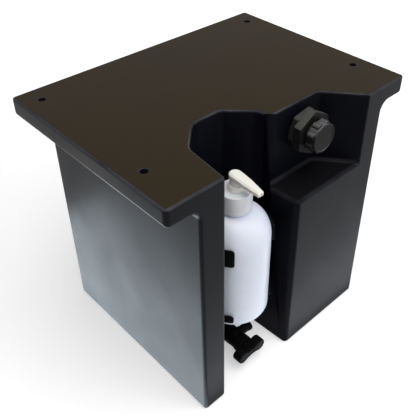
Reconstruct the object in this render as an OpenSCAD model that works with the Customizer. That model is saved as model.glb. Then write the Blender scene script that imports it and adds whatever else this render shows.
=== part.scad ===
// Hand-wash water tank for a vehicle tray: a hollow moulded tank with a bolt-on top flange,
// a bay that holds a soap bottle over a tap, and a filler neck with a screw cap in a side recess.
// Origin: middle of the underside. +X is the right-hand side, -Y the front, +Z up. Millimetres.

/* [Tank] */
// Width of the top plate, flange edge to flange edge
tank_w = 400; // [380:1:460]
// Depth from front to back
tank_d = 295; // [270:1:360]
// Height from underside to top
tank_h = 370; // [360:1:420]
// Thickness of the top plate
plate_t = 25; // [20:1:32]
// Flange width left and right of the body
overhang = 43; // [36:1:48]
// Wall of the moulding
wall_t = 5; // [4:0.5:6]
// Corner radius of the top plate
plate_corner_r = 6; // [3:0.5:14]
// Radius of the body's upright edges
body_corner_r = 5; // [3:0.5:12]
// Fillet under the flange
flange_fillet_r = 14; // [4:0.5:16]

/* [Flange holes] */
// Holes from the plate's left and right edges
bolt_edge = 25; // [20:0.5:28]
// First hole row, behind the front edge
bolt_front = 65; // [40:1:70]
// Last hole row, ahead of the back edge
bolt_back = 30; // [20:1:60]
// Bolt hole diameter
bolt_d = 9; // [6.6:0.1:11]

/* [Soap bay] */
// Front width of the bay and the filler recess together
front_w = 248; // [246:0.5:258]
// Front width of the bay
bay_w = 126; // [124:0.5:132]
// Depth of the bay
bay_depth = 99.5; // [99:0.5:110]
// How far the left wall leans in over its depth
bay_left_lean = 9; // [2:0.5:10]
// How far the right wall leans in over its depth
bay_right_lean = 6; // [2:0.5:8]
// Bevel at the bay's back left corner
bay_left_bevel = 34.5; // [30:0.5:38]
// Bevel at the bay's back right corner
bay_right_bevel = 33; // [28:0.5:36]
// Radius of the bay's inner corners
bay_corner_r = 8.5; // [5:0.5:8.5]

/* [Filler recess] */
// Height of the recess, from its ledge to the tank's top
recess_h = 103; // [90:1:125]
// Depth of the recess
recess_depth = 50; // [44:0.5:60]
// Width of the slanted right wall
recess_bevel_w = 40.5; // [30:0.5:42]
// Radius of the recess corners
recess_corner_r = 10; // [6:0.5:12]

/* [Filler] */
// Neck centre, left of the recess's right edge
filler_in = 68; // [66:0.5:72]
// Neck centre, below the tank's top
filler_down = 40; // [36:0.5:48]
// Neck thread diameter
neck_d = 33.2; // [28:0.1:34]
// Neck bore
neck_bore_d = 26; // [18:0.5:26]
// Neck length in front of its hexes
neck_len = 12; // [11:0.5:14]
// Hex against the wall, across flats
wall_hex = 49; // [46:0.5:50]
// Length of the wall hex
wall_hex_len = 8; // [6:0.5:9]
// Turn of the wall hex, in degrees
wall_hex_turn = 41; // [0:1:59]
// Spanner hex in front of it, across flats
neck_hex = 53; // [50:0.5:54]
// Length of the spanner hex
neck_hex_len = 11; // [8:0.5:12]
// Length of thread behind the gasket
neck_tail_len = 19; // [12:0.5:20]
// Gasket under the hex
filler_gasket_t = 2; // [1:0.1:3]
// Wall of the bush in the tank wall
insert_wall = 4; // [2.5:0.1:5]
// Outside diameter of the cap
cap_d = 44; // [43:0.5:48]
// Height of the cap
cap_h = 13; // [12:0.5:14]
// Thickness of the cap's top
cap_top_t = 3; // [2:0.1:4]
// Thickness of the disc seal in the cap
cap_seal_t = 2; // [1:0.1:3]
// Grip lobes round the cap
cap_lobes = 8; // [6:1:12]

/* [Tap] */
// Tap axis, right of the bay's left edge
tap_in = 64; // [63.5:0.5:68]
// Height of the tap axis
tap_z = 26; // [26:0.5:32]
// Barrel diameter
tap_barrel_d = 26; // [26:0.5:28]
// Front of the barrel, ahead of the bay's back wall
tap_reach = 71; // [68:0.5:72]
// Tail thread diameter
tap_tail_d = 20.8; // [18:0.1:22]
// Tail length behind the gasket
tap_tail_len = 17; // [12:0.5:18]
// Hex at the root of the barrel, across flats
tap_hex = 28; // [26:0.5:29]
// Length of the root hex
tap_hex_len = 6; // [4:0.5:9]
// Gasket under the hex
tap_gasket_t = 2; // [1:0.1:3]
// Inlet bore
tap_inlet_d = 13; // [9:0.5:14]
// Valve plug diameter
plug_d = 18; // [16:0.5:20]
// Spout outside diameter
spout_d = 15; // [13:0.5:15.5]
// Spout bore
spout_bore_d = 10; // [7:0.5:11]
// Spout length from the tap axis
spout_len = 32.5; // [28:0.5:40]
// Fall of the spout below level, in degrees
spout_fall = 4; // [0:1:12]
// Spout axis, ahead of the bay's back wall
spout_y = 51.5; // [50:0.5:54]
// Handle width, tip to tip
handle_w = 50; // [44:0.5:50]
// Radius of the handle's two lobes
handle_lobe_r = 9; // [7:0.5:9]
// Height of the handle between its lobes
handle_web_h = 12; // [9:0.5:12]
// Handle thickness along the axis
handle_t = 14.5; // [10:0.5:15]
// Handle tilt when shut, in degrees
handle_tilt = 1; // [0:1:12]

/* [Bottle] */
// Bottle diameter
bottle_d = 91; // [86:0.5:92]
// Bottle axis, right of the bay's left edge
bottle_in = 65.5; // [64:0.5:68]
// Gap between bottle and the bay's back wall
bottle_back_gap = 5; // [4.5:0.5:7]
// Height of the bottle's underside above the tank's underside
bottle_z = 97; // [90:1:104]
// Height of the straight side
bottle_side_h = 127; // [120:1:132]
// Height of the shoulder
shoulder_h = 38; // [34:1:42]
// Straight neck between the shoulder and the ring
neck_rise = 6; // [4:0.5:8]
// Radius at the bottle's foot
bottle_foot_r = 10; // [6:0.5:14]
// Wall of the bottle
bottle_wall = 1.8; // [1.2:0.1:2.4]
// Bottle neck thread diameter
finish_d = 33.2; // [30:0.1:35]
// Height of the neck above its ring
finish_h = 20; // [18:0.5:21]

/* [Soap pump] */
// Collar diameter
collar_d = 41; // [40:0.5:44]
// Thickness of the collar's top
collar_top_t = 2.5; // [1.5:0.1:3]
// Thickness of the neck gasket
pump_gasket_t = 1.5; // [1:0.1:2.5]
// Barrel of the pump, outside diameter
barrel_d = 17.2; // [15:0.1:19]
// Wall of the pump barrel
barrel_wall = 1.2; // [0.8:0.1:1.5]
// Stroke of the pump
stroke = 16; // [10:1:18]
// Stem diameter
stem_d = 8; // [7:0.1:9]
// Hub on the collar, diameter
hub_d = 21; // [21:0.5:24]
// Height of the hub
hub_h = 7; // [5:0.1:7.5]
// Reach of the nozzle from the pump axis
nozzle_reach = 41; // [36:0.5:43]
// Width of the nozzle at its tip
nozzle_tip_w = 10.6; // [9:0.2:11]
// Width of the pump head at its round end
head_w = 18.6; // [18:0.2:21]
// Width of the pump head half way to its tip
bill_w = 16.8; // [15:0.2:17]
// Height of the pump head at its round end
head_h = 8; // [7:0.2:10]
// Fall of the nozzle's top from end to tip
nozzle_drop = 6; // [3:0.5:8]
// Diameter of the dip tube
dip_d = 7; // [5:0.1:7.4]
// Gap between the dip tube and the bottle's floor
dip_gap = 4; // [2:0.5:8]
// Wire of the return spring
spring_wire = 0.9; // [0.6:0.1:1]
// Turns of the return spring
spring_turns = 5; // [3:1:5]

/* [Bottle clips] */
// Thickness of the clip bands
clip_t = 2.6; // [2:0.1:3]
// Height of the upper clip
upper_clip_h = 27; // [18:0.5:30]
// Underside of the upper clip above the bottle's foot
upper_clip_up = 113; // [100:1:120]
// Height of the lower clip
lower_clip_h = 12; // [10:0.5:16]
// Underside of the lower clip above the bottle's foot
lower_clip_up = 12; // [12:1:20]
// Front opening of the clips, in degrees
clip_open = 90; // [70:1:110]
// Width of the clip's back pad
clip_pad_w = 30; // [29.5:0.5:31]
// Screw spacing on a clip
clip_screw_dx = 20; // [18:0.5:21]
// Clip screw diameter
screw_d = 4; // [3:0.5:5]

/* [Clearances] */
// Running fit, on the radius
run_gap = 0.05; // [0.03:0.01:0.1]
// Thread and loose fit, on the radius
thread_gap = 0.25; // [0.15:0.05:0.4]
// Gap between bottle and clips, on the radius
grip_gap = 0.4; // [0.3:0.05:0.5]

/* [Hidden] */
$fn = 64;

// Spare length of a cutting shape past the surface it cuts
cut = 1;
// Least radius of a corner inside the moulding
least_r = 1;

// Tank planes
front_y = -tank_d / 2;
plate_z = tank_h - plate_t;
body_w = tank_w - 2 * overhang;
ledge_h = tank_h - recess_h;
bolt_dx = tank_w - 2 * bolt_edge;
bolt_dy = tank_d - bolt_front - bolt_back;
bay_back_y = front_y + bay_depth;
recess_y = front_y + recess_depth;

// Bay and recess corners in plan, clockwise from the front left
bay_left_x = -front_w / 2;
bay_right_x = bay_left_x + bay_w;
recess_right_x = front_w / 2;
bay_b = [bay_left_x + bay_left_lean, bay_back_y - bay_left_bevel];
bay_c = bay_b + [bay_left_bevel, bay_left_bevel];
bay_e = [bay_right_x - bay_right_lean, bay_back_y - bay_right_bevel];
bay_d = bay_e + [-bay_right_bevel, bay_right_bevel];
bay_f = [bay_right_x, front_y];
bay_share = (recess_y - bay_e.y) / (bay_f.y - bay_e.y);
recess_a = bay_e + (bay_f - bay_e) * bay_share;
recess_b = [recess_right_x - recess_bevel_w, recess_y];
recess_c = [recess_right_x, front_y];
// Front end of the plan cuts, well ahead of the tank
ahead = 20;
ahead_y = front_y - ahead;
bay_start = [[bay_left_x, ahead_y], [bay_left_x, front_y], bay_b, bay_c, bay_d, bay_e];
bay_start_r = [0, 0, bay_corner_r, bay_corner_r, bay_corner_r, recess_corner_r];
lower_plan = concat(bay_start, [bay_f, [bay_right_x, ahead_y]]);
lower_r = concat(bay_start_r, [0, 0]);
upper_plan = concat(bay_start, [recess_a, recess_b, recess_c, [recess_right_x, ahead_y]]);
upper_r = concat(bay_start_r, [recess_corner_r, bay_corner_r, 0, 0]);
arc_steps = 8;

// Filler places, along Y from the recess wall forward
filler_x = recess_right_x - filler_in;
filler_z = tank_h - filler_down;
filler_hex_y = recess_y - filler_gasket_t;
spanner_y = filler_hex_y - wall_hex_len;
neck_y = spanner_y - neck_hex_len;
neck_end_y = neck_y - neck_len;
cap_roof_y = neck_end_y - cap_seal_t;
cap_face_y = cap_roof_y - cap_top_t;
cap_skirt_y = cap_face_y + cap_h;
filler_insert_d = neck_d + 2 * insert_wall;
filler_boss_d = filler_insert_d + 2 * wall_t;
filler_insert_len = neck_tail_len - filler_gasket_t;
filler_gasket_inset = 2;
filler_gasket_d = wall_hex - 2 * filler_gasket_inset;
cap_root_d = neck_d + 2 * thread_gap + 2 * cap_top_t;
// Lobe pitch over lobe radius
cap_lobe_ratio = 3.2;
cap_lobe_r = PI * cap_d / cap_lobes / cap_lobe_ratio;
cap_lobe_mid = cap_d / 2 - cap_lobe_r;

// Tap places, along Y from the bay's back wall forward
tap_x = bay_left_x + tap_in;
tap_hex_y = bay_back_y - tap_gasket_t;
tap_barrel_y = tap_hex_y - tap_hex_len;
tap_front_y = bay_back_y - tap_reach;
spout_mid_y = bay_back_y - spout_y;
tap_insert_d = tap_tail_d + 2 * insert_wall;
tap_boss_d = tap_insert_d + 2 * wall_t;
tap_insert_len = tap_tail_len - tap_gasket_t;
tap_gasket_d = tap_hex;
gland_len = 6;
gland_seat_t = 1.5;
gland_roof_t = 2;
gland_wall = 3;
gland_thread_d = plug_d + 2 * gland_wall;
gland_d = gland_thread_d + 2 * gland_wall;
gland_root_y = tap_front_y + gland_len;
plug_behind = 14;
plug_back_y = spout_mid_y + spout_d / 2 + plug_behind;
plug_flange_y = tap_front_y - gland_seat_t;
gland_face_y = plug_flange_y - run_gap - gland_roof_t;
plug_flange_w = 1.5;
plug_flange_d = plug_d + 2 * plug_flange_w;
plug_step = 2.5;
plug_stem_d = plug_d - 2 * plug_step;
plug_square_inset = 2.5;
plug_square = plug_stem_d - 2 * plug_square_inset;
plug_wall = 4;
plug_bore_d = plug_d - 2 * plug_wall;
port_inset = 0.5;
port_d = spout_bore_d - 2 * port_inset;
handle_gap = 0.5;
handle_back_y = gland_face_y - handle_gap;
handle_hub_len = 0.5;
handle_y = handle_back_y - handle_hub_len;
handle_front_y = handle_y - handle_t;
handle_wall = 3;
handle_hub_d = plug_stem_d + 2 * handle_wall;
handle_socket = handle_t - handle_wall;
ring_wire = 1.4;
ring_mid_r = plug_d / 2 - ring_wire / 2 + run_gap / 2;
groove_r = ring_mid_r - ring_wire / 2 - run_gap / 2;
groove_room = 0.4;
groove_w = ring_wire + groove_room;
ring_inset = 3;
ring_ys = [plug_back_y - ring_inset, tap_front_y + ring_inset];

// Bottle and pump places, heights from the tank's underside
bottle_x = bay_left_x + bottle_in;
bottle_r = bottle_d / 2;
bottle_y = bay_back_y - bottle_back_gap - bottle_r;
shoulder_z = bottle_z + bottle_side_h;
ring_z = shoulder_z + shoulder_h + neck_rise;
finish_r = finish_d / 2;
neck_step = 0.4;
neck_r = finish_r + neck_step;
neck_ring_w = 2.2;
neck_ring_r = finish_r + neck_ring_w;
neck_ring_h = 3;
finish_wall = 3;
finish_bore_r = finish_r - finish_wall;
shoulder_inset = 1.5;
shoulder_steps = 20;
foot_steps = 8;
lip_z = ring_z + finish_h;
flange_z = lip_z + pump_gasket_t;
flange_t = 1.5;
flange_inset = 1;
flange_r = finish_r - flange_inset;
collar_roof_z = flange_z + flange_t;
collar_gap = 0.4;
collar_z = ring_z + collar_gap;
collar_top_z = collar_roof_z + collar_top_t;
collar_r = collar_d / 2;
collar_skirt_r = finish_r + thread_gap;
barrel_r = barrel_d / 2;
barrel_bore_r = barrel_r - barrel_wall;
throat_wall = 0.9;
throat_r = barrel_r + throat_wall;
hub_gap = 0.2;
hub_z = collar_top_z + hub_gap;
hub_top_z = hub_z + hub_h;
stem_r = stem_d / 2;
stem_bore_r = stem_r / 2;
chaplet_len = 12;
barrel_floor_t = 3.5;
spring_h = 15;
piston_h = 8;
piston_room = 4;
piston_z = hub_z - chaplet_len - piston_room - stroke - piston_h;
spring_z = piston_z - spring_h;
barrel_floor_z = spring_z - barrel_floor_t;
barrel_len = flange_z - barrel_floor_z;
ball_r = 3;
ball_seat_r = 2.2;
ball_z = spring_z + sqrt(ball_r * ball_r - ball_seat_r * ball_seat_r) + run_gap;
dip_r = dip_d / 2;
dip_wall = 1;
dip_bore_r = dip_r - dip_wall;
socket_len = 12;
socket_wall = 1.5;
socket_r = dip_r + socket_wall;
dip_top_z = barrel_floor_z;
dip_foot_z = bottle_z + bottle_wall + dip_gap;
spring_gap = 0.6;
spring_end_gap = 0.1;
spring_r = barrel_bore_r - spring_wire / 2 - spring_gap;
spring_sides = 6;
spring_rings = 12;
bill_share = 0.44;
head_gap = 0.3;
boss_z = hub_top_z + head_gap;
boss_h = 7.5;
boss_wall = 3.5;
boss_r = stem_r + boss_wall;
head_z = boss_z + boss_h;
head_r = head_w / 2;
bill_r = bill_w / 2;
bill_y = -nozzle_reach * bill_share;
head_top_z = head_z + head_h;
head_crown = 1;
tip_step = 2.4;
tip_h = head_h - tip_step;
tip_top_z = head_top_z - nozzle_drop;
tip_r = nozzle_tip_w / 2;
stem_in_head = 3.2;
stem_top_z = head_z + stem_in_head;
nozzle_wall = 1.2;
nozzle_bore_r = tip_h / 2 - nozzle_wall;
nozzle_bore_z = tip_top_z - tip_h / 2;

// Clip places
clip_r = bottle_r + grip_gap;
clip_out_r = clip_r + clip_t;
clip_bead_w = 3;
clip_bead_up = 0.8;
upper_clip_z = bottle_z + upper_clip_up;
lower_clip_z = bottle_z + lower_clip_up;
lip_t = 3;
lip_w = 24;
lip_hold = 8;
lip_reach = bottle_back_gap + bottle_foot_r + lip_hold;
pad_grip = 9;
pad_deep = bottle_back_gap + pad_grip;
screw_r = screw_d / 2;
screw_head_r = screw_d;
screw_head_t = screw_r;
screw_base_t = 3.2;
screw_len = 12;
pocket_gap = 0.6;
pocket_r = screw_head_r + pocket_gap;
clip_insert_wall = 2.2;
clip_insert_r = screw_r + clip_insert_wall;
clip_insert_len = 10;
clip_boss_wall = 3.2;
clip_boss_r = clip_insert_r + clip_boss_wall;
clip_boss_floor = 3;
clip_boss_len = clip_insert_len + clip_boss_floor;
screw_seat_y = bay_back_y - screw_base_t;
screw_end_y = screw_seat_y + screw_len;
upper_screw_z = upper_clip_z + upper_clip_h / 2;
lower_screw_z = lower_clip_z + lower_clip_h / 2;
screw_places =
    [for (z = [upper_screw_z, lower_screw_z], s = [-1, 1]) [bottle_x + s * clip_screw_dx / 2, z]];

black = "#232222";
cap_black = "#2c2c2c";
white = "#f2f1ec";
pump_white = "#efece2";
rubber = "#1a1a1a";
brass = "#b08d4a";
steel = "#b9bcc0";

// Plan geometry: growing an outline by a distance, and rounding its corners
function unit(v) = v / norm(v);
function left_of(u) = [-u.y, u.x];
function meet(p, u, q, v) = p + u * cross(q - p, v) / cross(u, v);
function before(p, i) = p[(i + len(p) - 1) % len(p)];
function after(p, i) = p[(i + 1) % len(p)];
function grown_corner(a, b, c, s) =
    let (u = unit(b - a), v = unit(c - b))
    meet(b + s * left_of(u), u, b + s * left_of(v), v);
function grown(p, s) = [for (i = [0:len(p) - 1]) grown_corner(before(p, i), p[i], after(p, i), s)];
function turns_in(a, b, c) = cross(b - a, c - b) < 0;
function grown_r(p, r, s) =
    [for (i = [0:len(p) - 1])
        r[i] == 0 ? 0 : r[i] + (turns_in(before(p, i), p[i], after(p, i)) ? s : -s)];
function arc(a, b, c, r) =
    let (
        u = unit(a - b),
        v = unit(c - b),
        half = acos(u * v) / 2,
        mid = b + unit(u + v) * r / sin(half),
        first = b + u * r / tan(half) - mid,
        last = b + v * r / tan(half) - mid,
        start = atan2(first.y, first.x),
        sweep = atan2(cross(first, last), first * last)
    )
    [for (k = [0:arc_steps]) let (t = start + sweep * k / arc_steps) mid + r * [cos(t), sin(t)]];
function rounded(p, r) =
    [for (i = [0:len(p) - 1])
        each r[i] > 0 ? arc(before(p, i), p[i], after(p, i), r[i]) : [p[i]]];

// Points of the bottle's outline from foot to neck, drawn in by an inset
function foot_arc(s) =
    [for (k = [0:foot_steps]) let (t = 90 * k / foot_steps)
        [bottle_r - bottle_foot_r + (bottle_foot_r - s) * sin(t),
         bottle_z + bottle_foot_r - (bottle_foot_r - s) * cos(t)]];
function shoulder_arc(s, r_end) =
    let (
        mid_r = neck_r - shoulder_inset,
        wide = bottle_r - mid_r,
        last = acos((r_end + s - mid_r) / wide)
    )
    [for (k = [0:shoulder_steps]) let (t = last * k / shoulder_steps)
        [mid_r + wide * cos(t) - s, shoulder_z + (shoulder_h - s) * sin(t)]];

// Where a line from a point touches a round end that is centred on Y
function tangent_at(mid_y, r, point, side) =
    let (
        away = point - [0, mid_y],
        turn = atan2(away.y, away.x) + side * acos(r / norm(away))
    )
    [r * cos(turn), mid_y + r * sin(turn)];

module along_y(x, y, z) {
    translate([x, y, z]) rotate([90, 0, 0]) children();
}

// A ring or rod on a Y axis, from its back face forward
module rod_y(x, z, back_y, front_y, d) {
    along_y(x, back_y, z) cylinder(d = d, h = back_y - front_y);
}

module hex_y(x, z, back_y, front_y, flats, turn) {
    along_y(x, back_y, z) rotate(30 + turn) cylinder(d = flats / cos(30), h = back_y - front_y, $fn = 6);
}

module on_bottle(z) {
    translate([bottle_x, bottle_y, z]) children();
}

module rounded_plan(w, d, r) {
    union() {
        square([w - 2 * r, d], center = true);
        square([w, d - 2 * r], center = true);
        for (sx = [-1, 1], sy = [-1, 1])
            translate([sx * (w / 2 - r), sy * (d / 2 - r)]) circle(r);
    }
}

// The bay and the recess, grown by a wall where they cut the chamber
module openings(s) {
    translate([0, 0, -cut])
        linear_extrude(ledge_h - s + cut)
            polygon(rounded(grown(lower_plan, s), grown_r(lower_plan, lower_r, s)));
    translate([0, 0, ledge_h - s])
        linear_extrude(tank_h - ledge_h + s + cut)
            polygon(rounded(grown(upper_plan, s), grown_r(upper_plan, upper_r, s)));
}

module tank_outside() difference() {
    union() {
        translate([0, 0, plate_z]) linear_extrude(plate_t) rounded_plan(tank_w, tank_d, plate_corner_r);
        linear_extrude(tank_h) rounded_plan(body_w, tank_d, body_corner_r);
    }
    openings(0);
}

// The chamber stays inside the body, so the flange is solid where its bolts clamp
module tank_chamber() difference() {
    translate([0, 0, wall_t])
        linear_extrude(tank_h - 2 * wall_t)
            rounded_plan(body_w - 2 * wall_t, tank_d - 2 * wall_t, max(body_corner_r - wall_t, least_r));
    openings(wall_t);
}

// Fillets between the flange's underside and the body's sides, with the plate's own corners
module flange_fillets() {
    bite = wall_t / 2;
    side_w = flange_fillet_r + bite;
    mid_x = body_w / 2 + flange_fillet_r - side_w / 2;
    mid_z = plate_z - flange_fillet_r + side_w / 2;
    for (side = [-1, 1])
        difference() {
            translate([side * mid_x, 0, mid_z])
                cube([side_w, tank_d - 2 * body_corner_r, side_w], center = true);
            translate([side * (body_w / 2 + flange_fillet_r), 0, plate_z - flange_fillet_r])
                rotate([90, 0, 0]) cylinder(r = flange_fillet_r, h = tank_d + 2 * cut, center = true);
        }
}

module at_bolts() {
    for (sx = [-1, 1], row = [0, 1])
        translate([sx * bolt_dx / 2, front_y + bolt_front + row * bolt_dy, 0]) children();
}

module tank_shell() color(black) {
    boss_back = wall_t / 2;
    difference() {
        union() {
            difference() {
                tank_outside();
                tank_chamber();
            }
            flange_fillets();
            rod_y(filler_x, filler_z, recess_y + filler_insert_len, recess_y + boss_back, filler_boss_d);
            rod_y(tap_x, tap_z, bay_back_y + tap_insert_len, bay_back_y + boss_back, tap_boss_d);
            for (p = screw_places)
                rod_y(p.x, p.y, bay_back_y + clip_boss_len, bay_back_y + boss_back, 2 * clip_boss_r);
        }
        at_bolts() translate([0, 0, plate_z - cut]) cylinder(d = bolt_d, h = plate_t + 2 * cut);
        rod_y(filler_x, filler_z, recess_y + filler_insert_len + cut, recess_y - cut,
            filler_insert_d + 2 * run_gap);
        rod_y(tap_x, tap_z, bay_back_y + tap_insert_len + cut, bay_back_y - cut, tap_insert_d + 2 * run_gap);
        for (p = screw_places)
            rod_y(p.x, p.y, bay_back_y + clip_insert_len + 2 * run_gap, bay_back_y - cut,
                2 * clip_insert_r + 2 * run_gap);
    }
}

module filler_insert() color(brass) difference() {
    rod_y(filler_x, filler_z, recess_y + filler_insert_len, recess_y, filler_insert_d);
    rod_y(filler_x, filler_z, recess_y + filler_insert_len + cut, recess_y - cut, neck_d + 2 * run_gap);
}

module filler_gasket() color(rubber) difference() {
    rod_y(filler_x, filler_z, recess_y, filler_hex_y, filler_gasket_d);
    rod_y(filler_x, filler_z, recess_y + cut, filler_hex_y - cut, neck_d + 2 * run_gap);
}

module filler_connector() color(cap_black) difference() {
    union() {
        rod_y(filler_x, filler_z, recess_y + filler_insert_len, neck_end_y, neck_d);
        hex_y(filler_x, filler_z, filler_hex_y, spanner_y - cut, wall_hex, wall_hex_turn);
        hex_y(filler_x, filler_z, spanner_y, neck_y, neck_hex, 0);
    }
    rod_y(filler_x, filler_z, recess_y + filler_insert_len + cut, neck_end_y - cut, neck_bore_d);
}

module filler_cap_seal() color(rubber)
    rod_y(filler_x, filler_z, neck_end_y, cap_roof_y, neck_d);

module filler_cap() color(cap_black) difference() {
    union() {
        rod_y(filler_x, filler_z, cap_skirt_y, cap_face_y, cap_root_d);
        for (k = [0:cap_lobes - 1])
            rotate_about_filler(360 * (k + 0.5) / cap_lobes)
                rod_y(filler_x, filler_z + cap_lobe_mid, cap_skirt_y, cap_roof_y, 2 * cap_lobe_r);
    }
    rod_y(filler_x, filler_z, cap_skirt_y + cut, cap_roof_y, neck_d + 2 * thread_gap);
}

module rotate_about_filler(angle) {
    translate([filler_x, 0, filler_z]) rotate([0, angle, 0]) translate([-filler_x, 0, -filler_z]) children();
}

module tap_insert() color(brass) difference() {
    rod_y(tap_x, tap_z, bay_back_y + tap_insert_len, bay_back_y, tap_insert_d);
    rod_y(tap_x, tap_z, bay_back_y + tap_insert_len + cut, bay_back_y - cut, tap_tail_d + 2 * run_gap);
}

module tap_gasket() color(rubber) difference() {
    rod_y(tap_x, tap_z, bay_back_y, tap_hex_y, tap_gasket_d);
    rod_y(tap_x, tap_z, bay_back_y + cut, tap_hex_y - cut, tap_tail_d + 2 * run_gap);
}

module spout(d, start, reach) {
    translate([tap_x, spout_mid_y, tap_z]) rotate([0, 90 + spout_fall, 0])
        translate([0, 0, start]) cylinder(d = d, h = reach - start);
}

module tap_body() color(black) difference() {
    union() {
        rod_y(tap_x, tap_z, bay_back_y + tap_insert_len, tap_barrel_y, tap_tail_d);
        hex_y(tap_x, tap_z, tap_hex_y, tap_barrel_y, tap_hex, 0);
        rod_y(tap_x, tap_z, tap_hex_y - cut, gland_root_y, tap_barrel_d);
        rod_y(tap_x, tap_z, tap_barrel_y, tap_front_y, gland_thread_d);
        spout(spout_d, 0, spout_len);
    }
    rod_y(tap_x, tap_z, bay_back_y + tap_insert_len + cut, plug_back_y - cut, tap_inlet_d);
    rod_y(tap_x, tap_z, plug_back_y, tap_front_y - cut, plug_d + 2 * run_gap);
    spout(spout_bore_d, 0, spout_len + cut);
}

module tap_gland_nut() color(black) {
    flutes = 12;
    flute_d = 3;
    difference() {
        rod_y(tap_x, tap_z, gland_root_y - run_gap, gland_face_y, gland_d);
        rod_y(tap_x, tap_z, gland_root_y + cut, plug_flange_y - run_gap, gland_thread_d + 2 * run_gap);
        rod_y(tap_x, tap_z, gland_root_y + cut, gland_face_y - cut, plug_stem_d + 2 * run_gap);
        for (k = [0:flutes - 1])
            translate([tap_x, 0, tap_z]) rotate([0, 360 * k / flutes, 0])
                rod_y(0, gland_d / 2 + flute_d / 4, gland_root_y + cut, gland_face_y - cut, flute_d);
    }
}

// The plug is a hollow valve: its side port faces up when shut and meets the spout a quarter turn on
module tap_plug() color(pump_white) difference() {
    union() {
        rod_y(tap_x, tap_z, plug_back_y - 2 * run_gap, tap_front_y - run_gap / 2, plug_d);
        rod_y(tap_x, tap_z, tap_front_y - run_gap / 2, plug_flange_y, plug_flange_d);
        rod_y(tap_x, tap_z, tap_front_y, handle_y, plug_stem_d);
        translate([tap_x, handle_y - handle_socket / 2 + cut / 2, tap_z]) rotate([0, -handle_tilt, 0])
            cube([plug_square, handle_socket + cut, plug_square], center = true);
    }
    rod_y(tap_x, tap_z, plug_back_y + cut, spout_mid_y - spout_bore_d / 2, plug_bore_d);
    translate([tap_x, spout_mid_y, tap_z]) cylinder(d = port_d, h = plug_d);
    for (y = ring_ys)
        difference() {
            rod_y(tap_x, tap_z, y + groove_w / 2, y - groove_w / 2, plug_d + cut);
            rod_y(tap_x, tap_z, y + groove_w, y - groove_w, 2 * groove_r);
        }
}

module tap_o_rings() color(rubber)
    for (y = ring_ys)
        along_y(tap_x, y, tap_z) rotate_extrude() translate([ring_mid_r, 0]) circle(d = ring_wire, $fn = 24);

module tap_handle() color(black) difference() {
    lobe_x = handle_w / 2 - handle_lobe_r;
    socket_w = plug_square + 2 * run_gap;
    translate([tap_x, 0, tap_z]) rotate([0, -handle_tilt, 0]) union() {
        rod_y(0, 0, handle_back_y, handle_front_y, handle_hub_d);
        translate([-lobe_x, handle_front_y, -handle_web_h / 2]) cube([2 * lobe_x, handle_t, handle_web_h]);
        for (s = [-1, 1])
            rod_y(s * lobe_x, 0, handle_y, handle_front_y, 2 * handle_lobe_r);
    }
    rod_y(tap_x, tap_z, handle_back_y + cut, handle_y, plug_stem_d + 2 * run_gap);
    translate([tap_x, handle_y - handle_socket / 2, tap_z]) rotate([0, -handle_tilt, 0])
        cube([socket_w, handle_socket + 2 * run_gap, socket_w], center = true);
}

// A band open at the front, with a pad against the bay's back wall
module clip_band(z, h) {
    far = 2 * clip_out_r;
    half = clip_open / 2;
    on_bottle(z) difference() {
        union() {
            cylinder(r = clip_out_r, h = h);
            translate([-clip_pad_w / 2, bottle_r + bottle_back_gap - pad_deep, 0])
                cube([clip_pad_w, pad_deep, h]);
        }
        translate([0, 0, -cut]) cylinder(r = clip_r, h = h + 2 * cut);
        translate([0, 0, -cut]) linear_extrude(h + 2 * cut)
            polygon([[0, 0], far * [-sin(half), -cos(half)], far * [0, -2], far * [sin(half), -cos(half)]]);
    }
    for (s = [-1, 1])
        on_bottle(z) rotate(s * half) translate([-clip_bead_w / 2, -clip_r - clip_t - clip_bead_up, 0])
            cube([clip_bead_w, clip_t + clip_bead_up - grip_gap, h]);
}

module clip_screw_holes(z) {
    for (s = [-1, 1]) {
        x = bottle_x + s * clip_screw_dx / 2;
        rod_y(x, z, bay_back_y + cut, bay_back_y - pad_deep, screw_d + 2 * run_gap);
        rod_y(x, z, screw_seat_y, bay_back_y - 2 * pad_deep, 2 * pocket_r);
    }
}

module upper_clip() color(black) difference() {
    clip_band(upper_clip_z, upper_clip_h);
    clip_screw_holes(upper_screw_z);
}

// The lower clip has a foot that carries the bottle
module lower_clip() color(black) difference() {
    union() {
        clip_band(lower_clip_z, lower_clip_h);
        translate([bottle_x - lip_w / 2, bay_back_y - lip_reach, bottle_z - lip_t])
            cube([lip_w, lip_reach, lip_t]);
        translate([bottle_x - lip_w / 2, bay_back_y - lip_t, bottle_z - lip_t])
            cube([lip_w, lip_t, lower_clip_up + lip_t + lower_clip_h / 2]);
    }
    clip_screw_holes(lower_screw_z);
}

module clip_screws() color(steel)
    for (p = screw_places) {
        rod_y(p.x, p.y, screw_seat_y, screw_seat_y - screw_head_t, 2 * screw_head_r);
        rod_y(p.x, p.y, screw_end_y, screw_seat_y, screw_d);
    }

module clip_inserts() color(brass)
    for (p = screw_places)
        difference() {
            rod_y(p.x, p.y, bay_back_y + clip_insert_len, bay_back_y, 2 * clip_insert_r);
            rod_y(p.x, p.y, bay_back_y + clip_insert_len - cut, bay_back_y - cut, screw_d + 2 * run_gap);
        }

module bottle() color(white) on_bottle(0) rotate_extrude() polygon(concat(
    [[0, bottle_z]],
    foot_arc(0),
    shoulder_arc(0, neck_r),
    [[neck_r, ring_z - neck_ring_h], [neck_ring_r, ring_z - neck_ring_h], [neck_ring_r, ring_z]],
    [[finish_r, ring_z], [finish_r, lip_z], [finish_bore_r, lip_z]],
    [for (k = [shoulder_steps:-1:0]) shoulder_arc(bottle_wall, finish_bore_r)[k]],
    [for (k = [foot_steps:-1:0]) foot_arc(bottle_wall)[k]],
    [[0, bottle_z + bottle_wall]]
));

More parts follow.
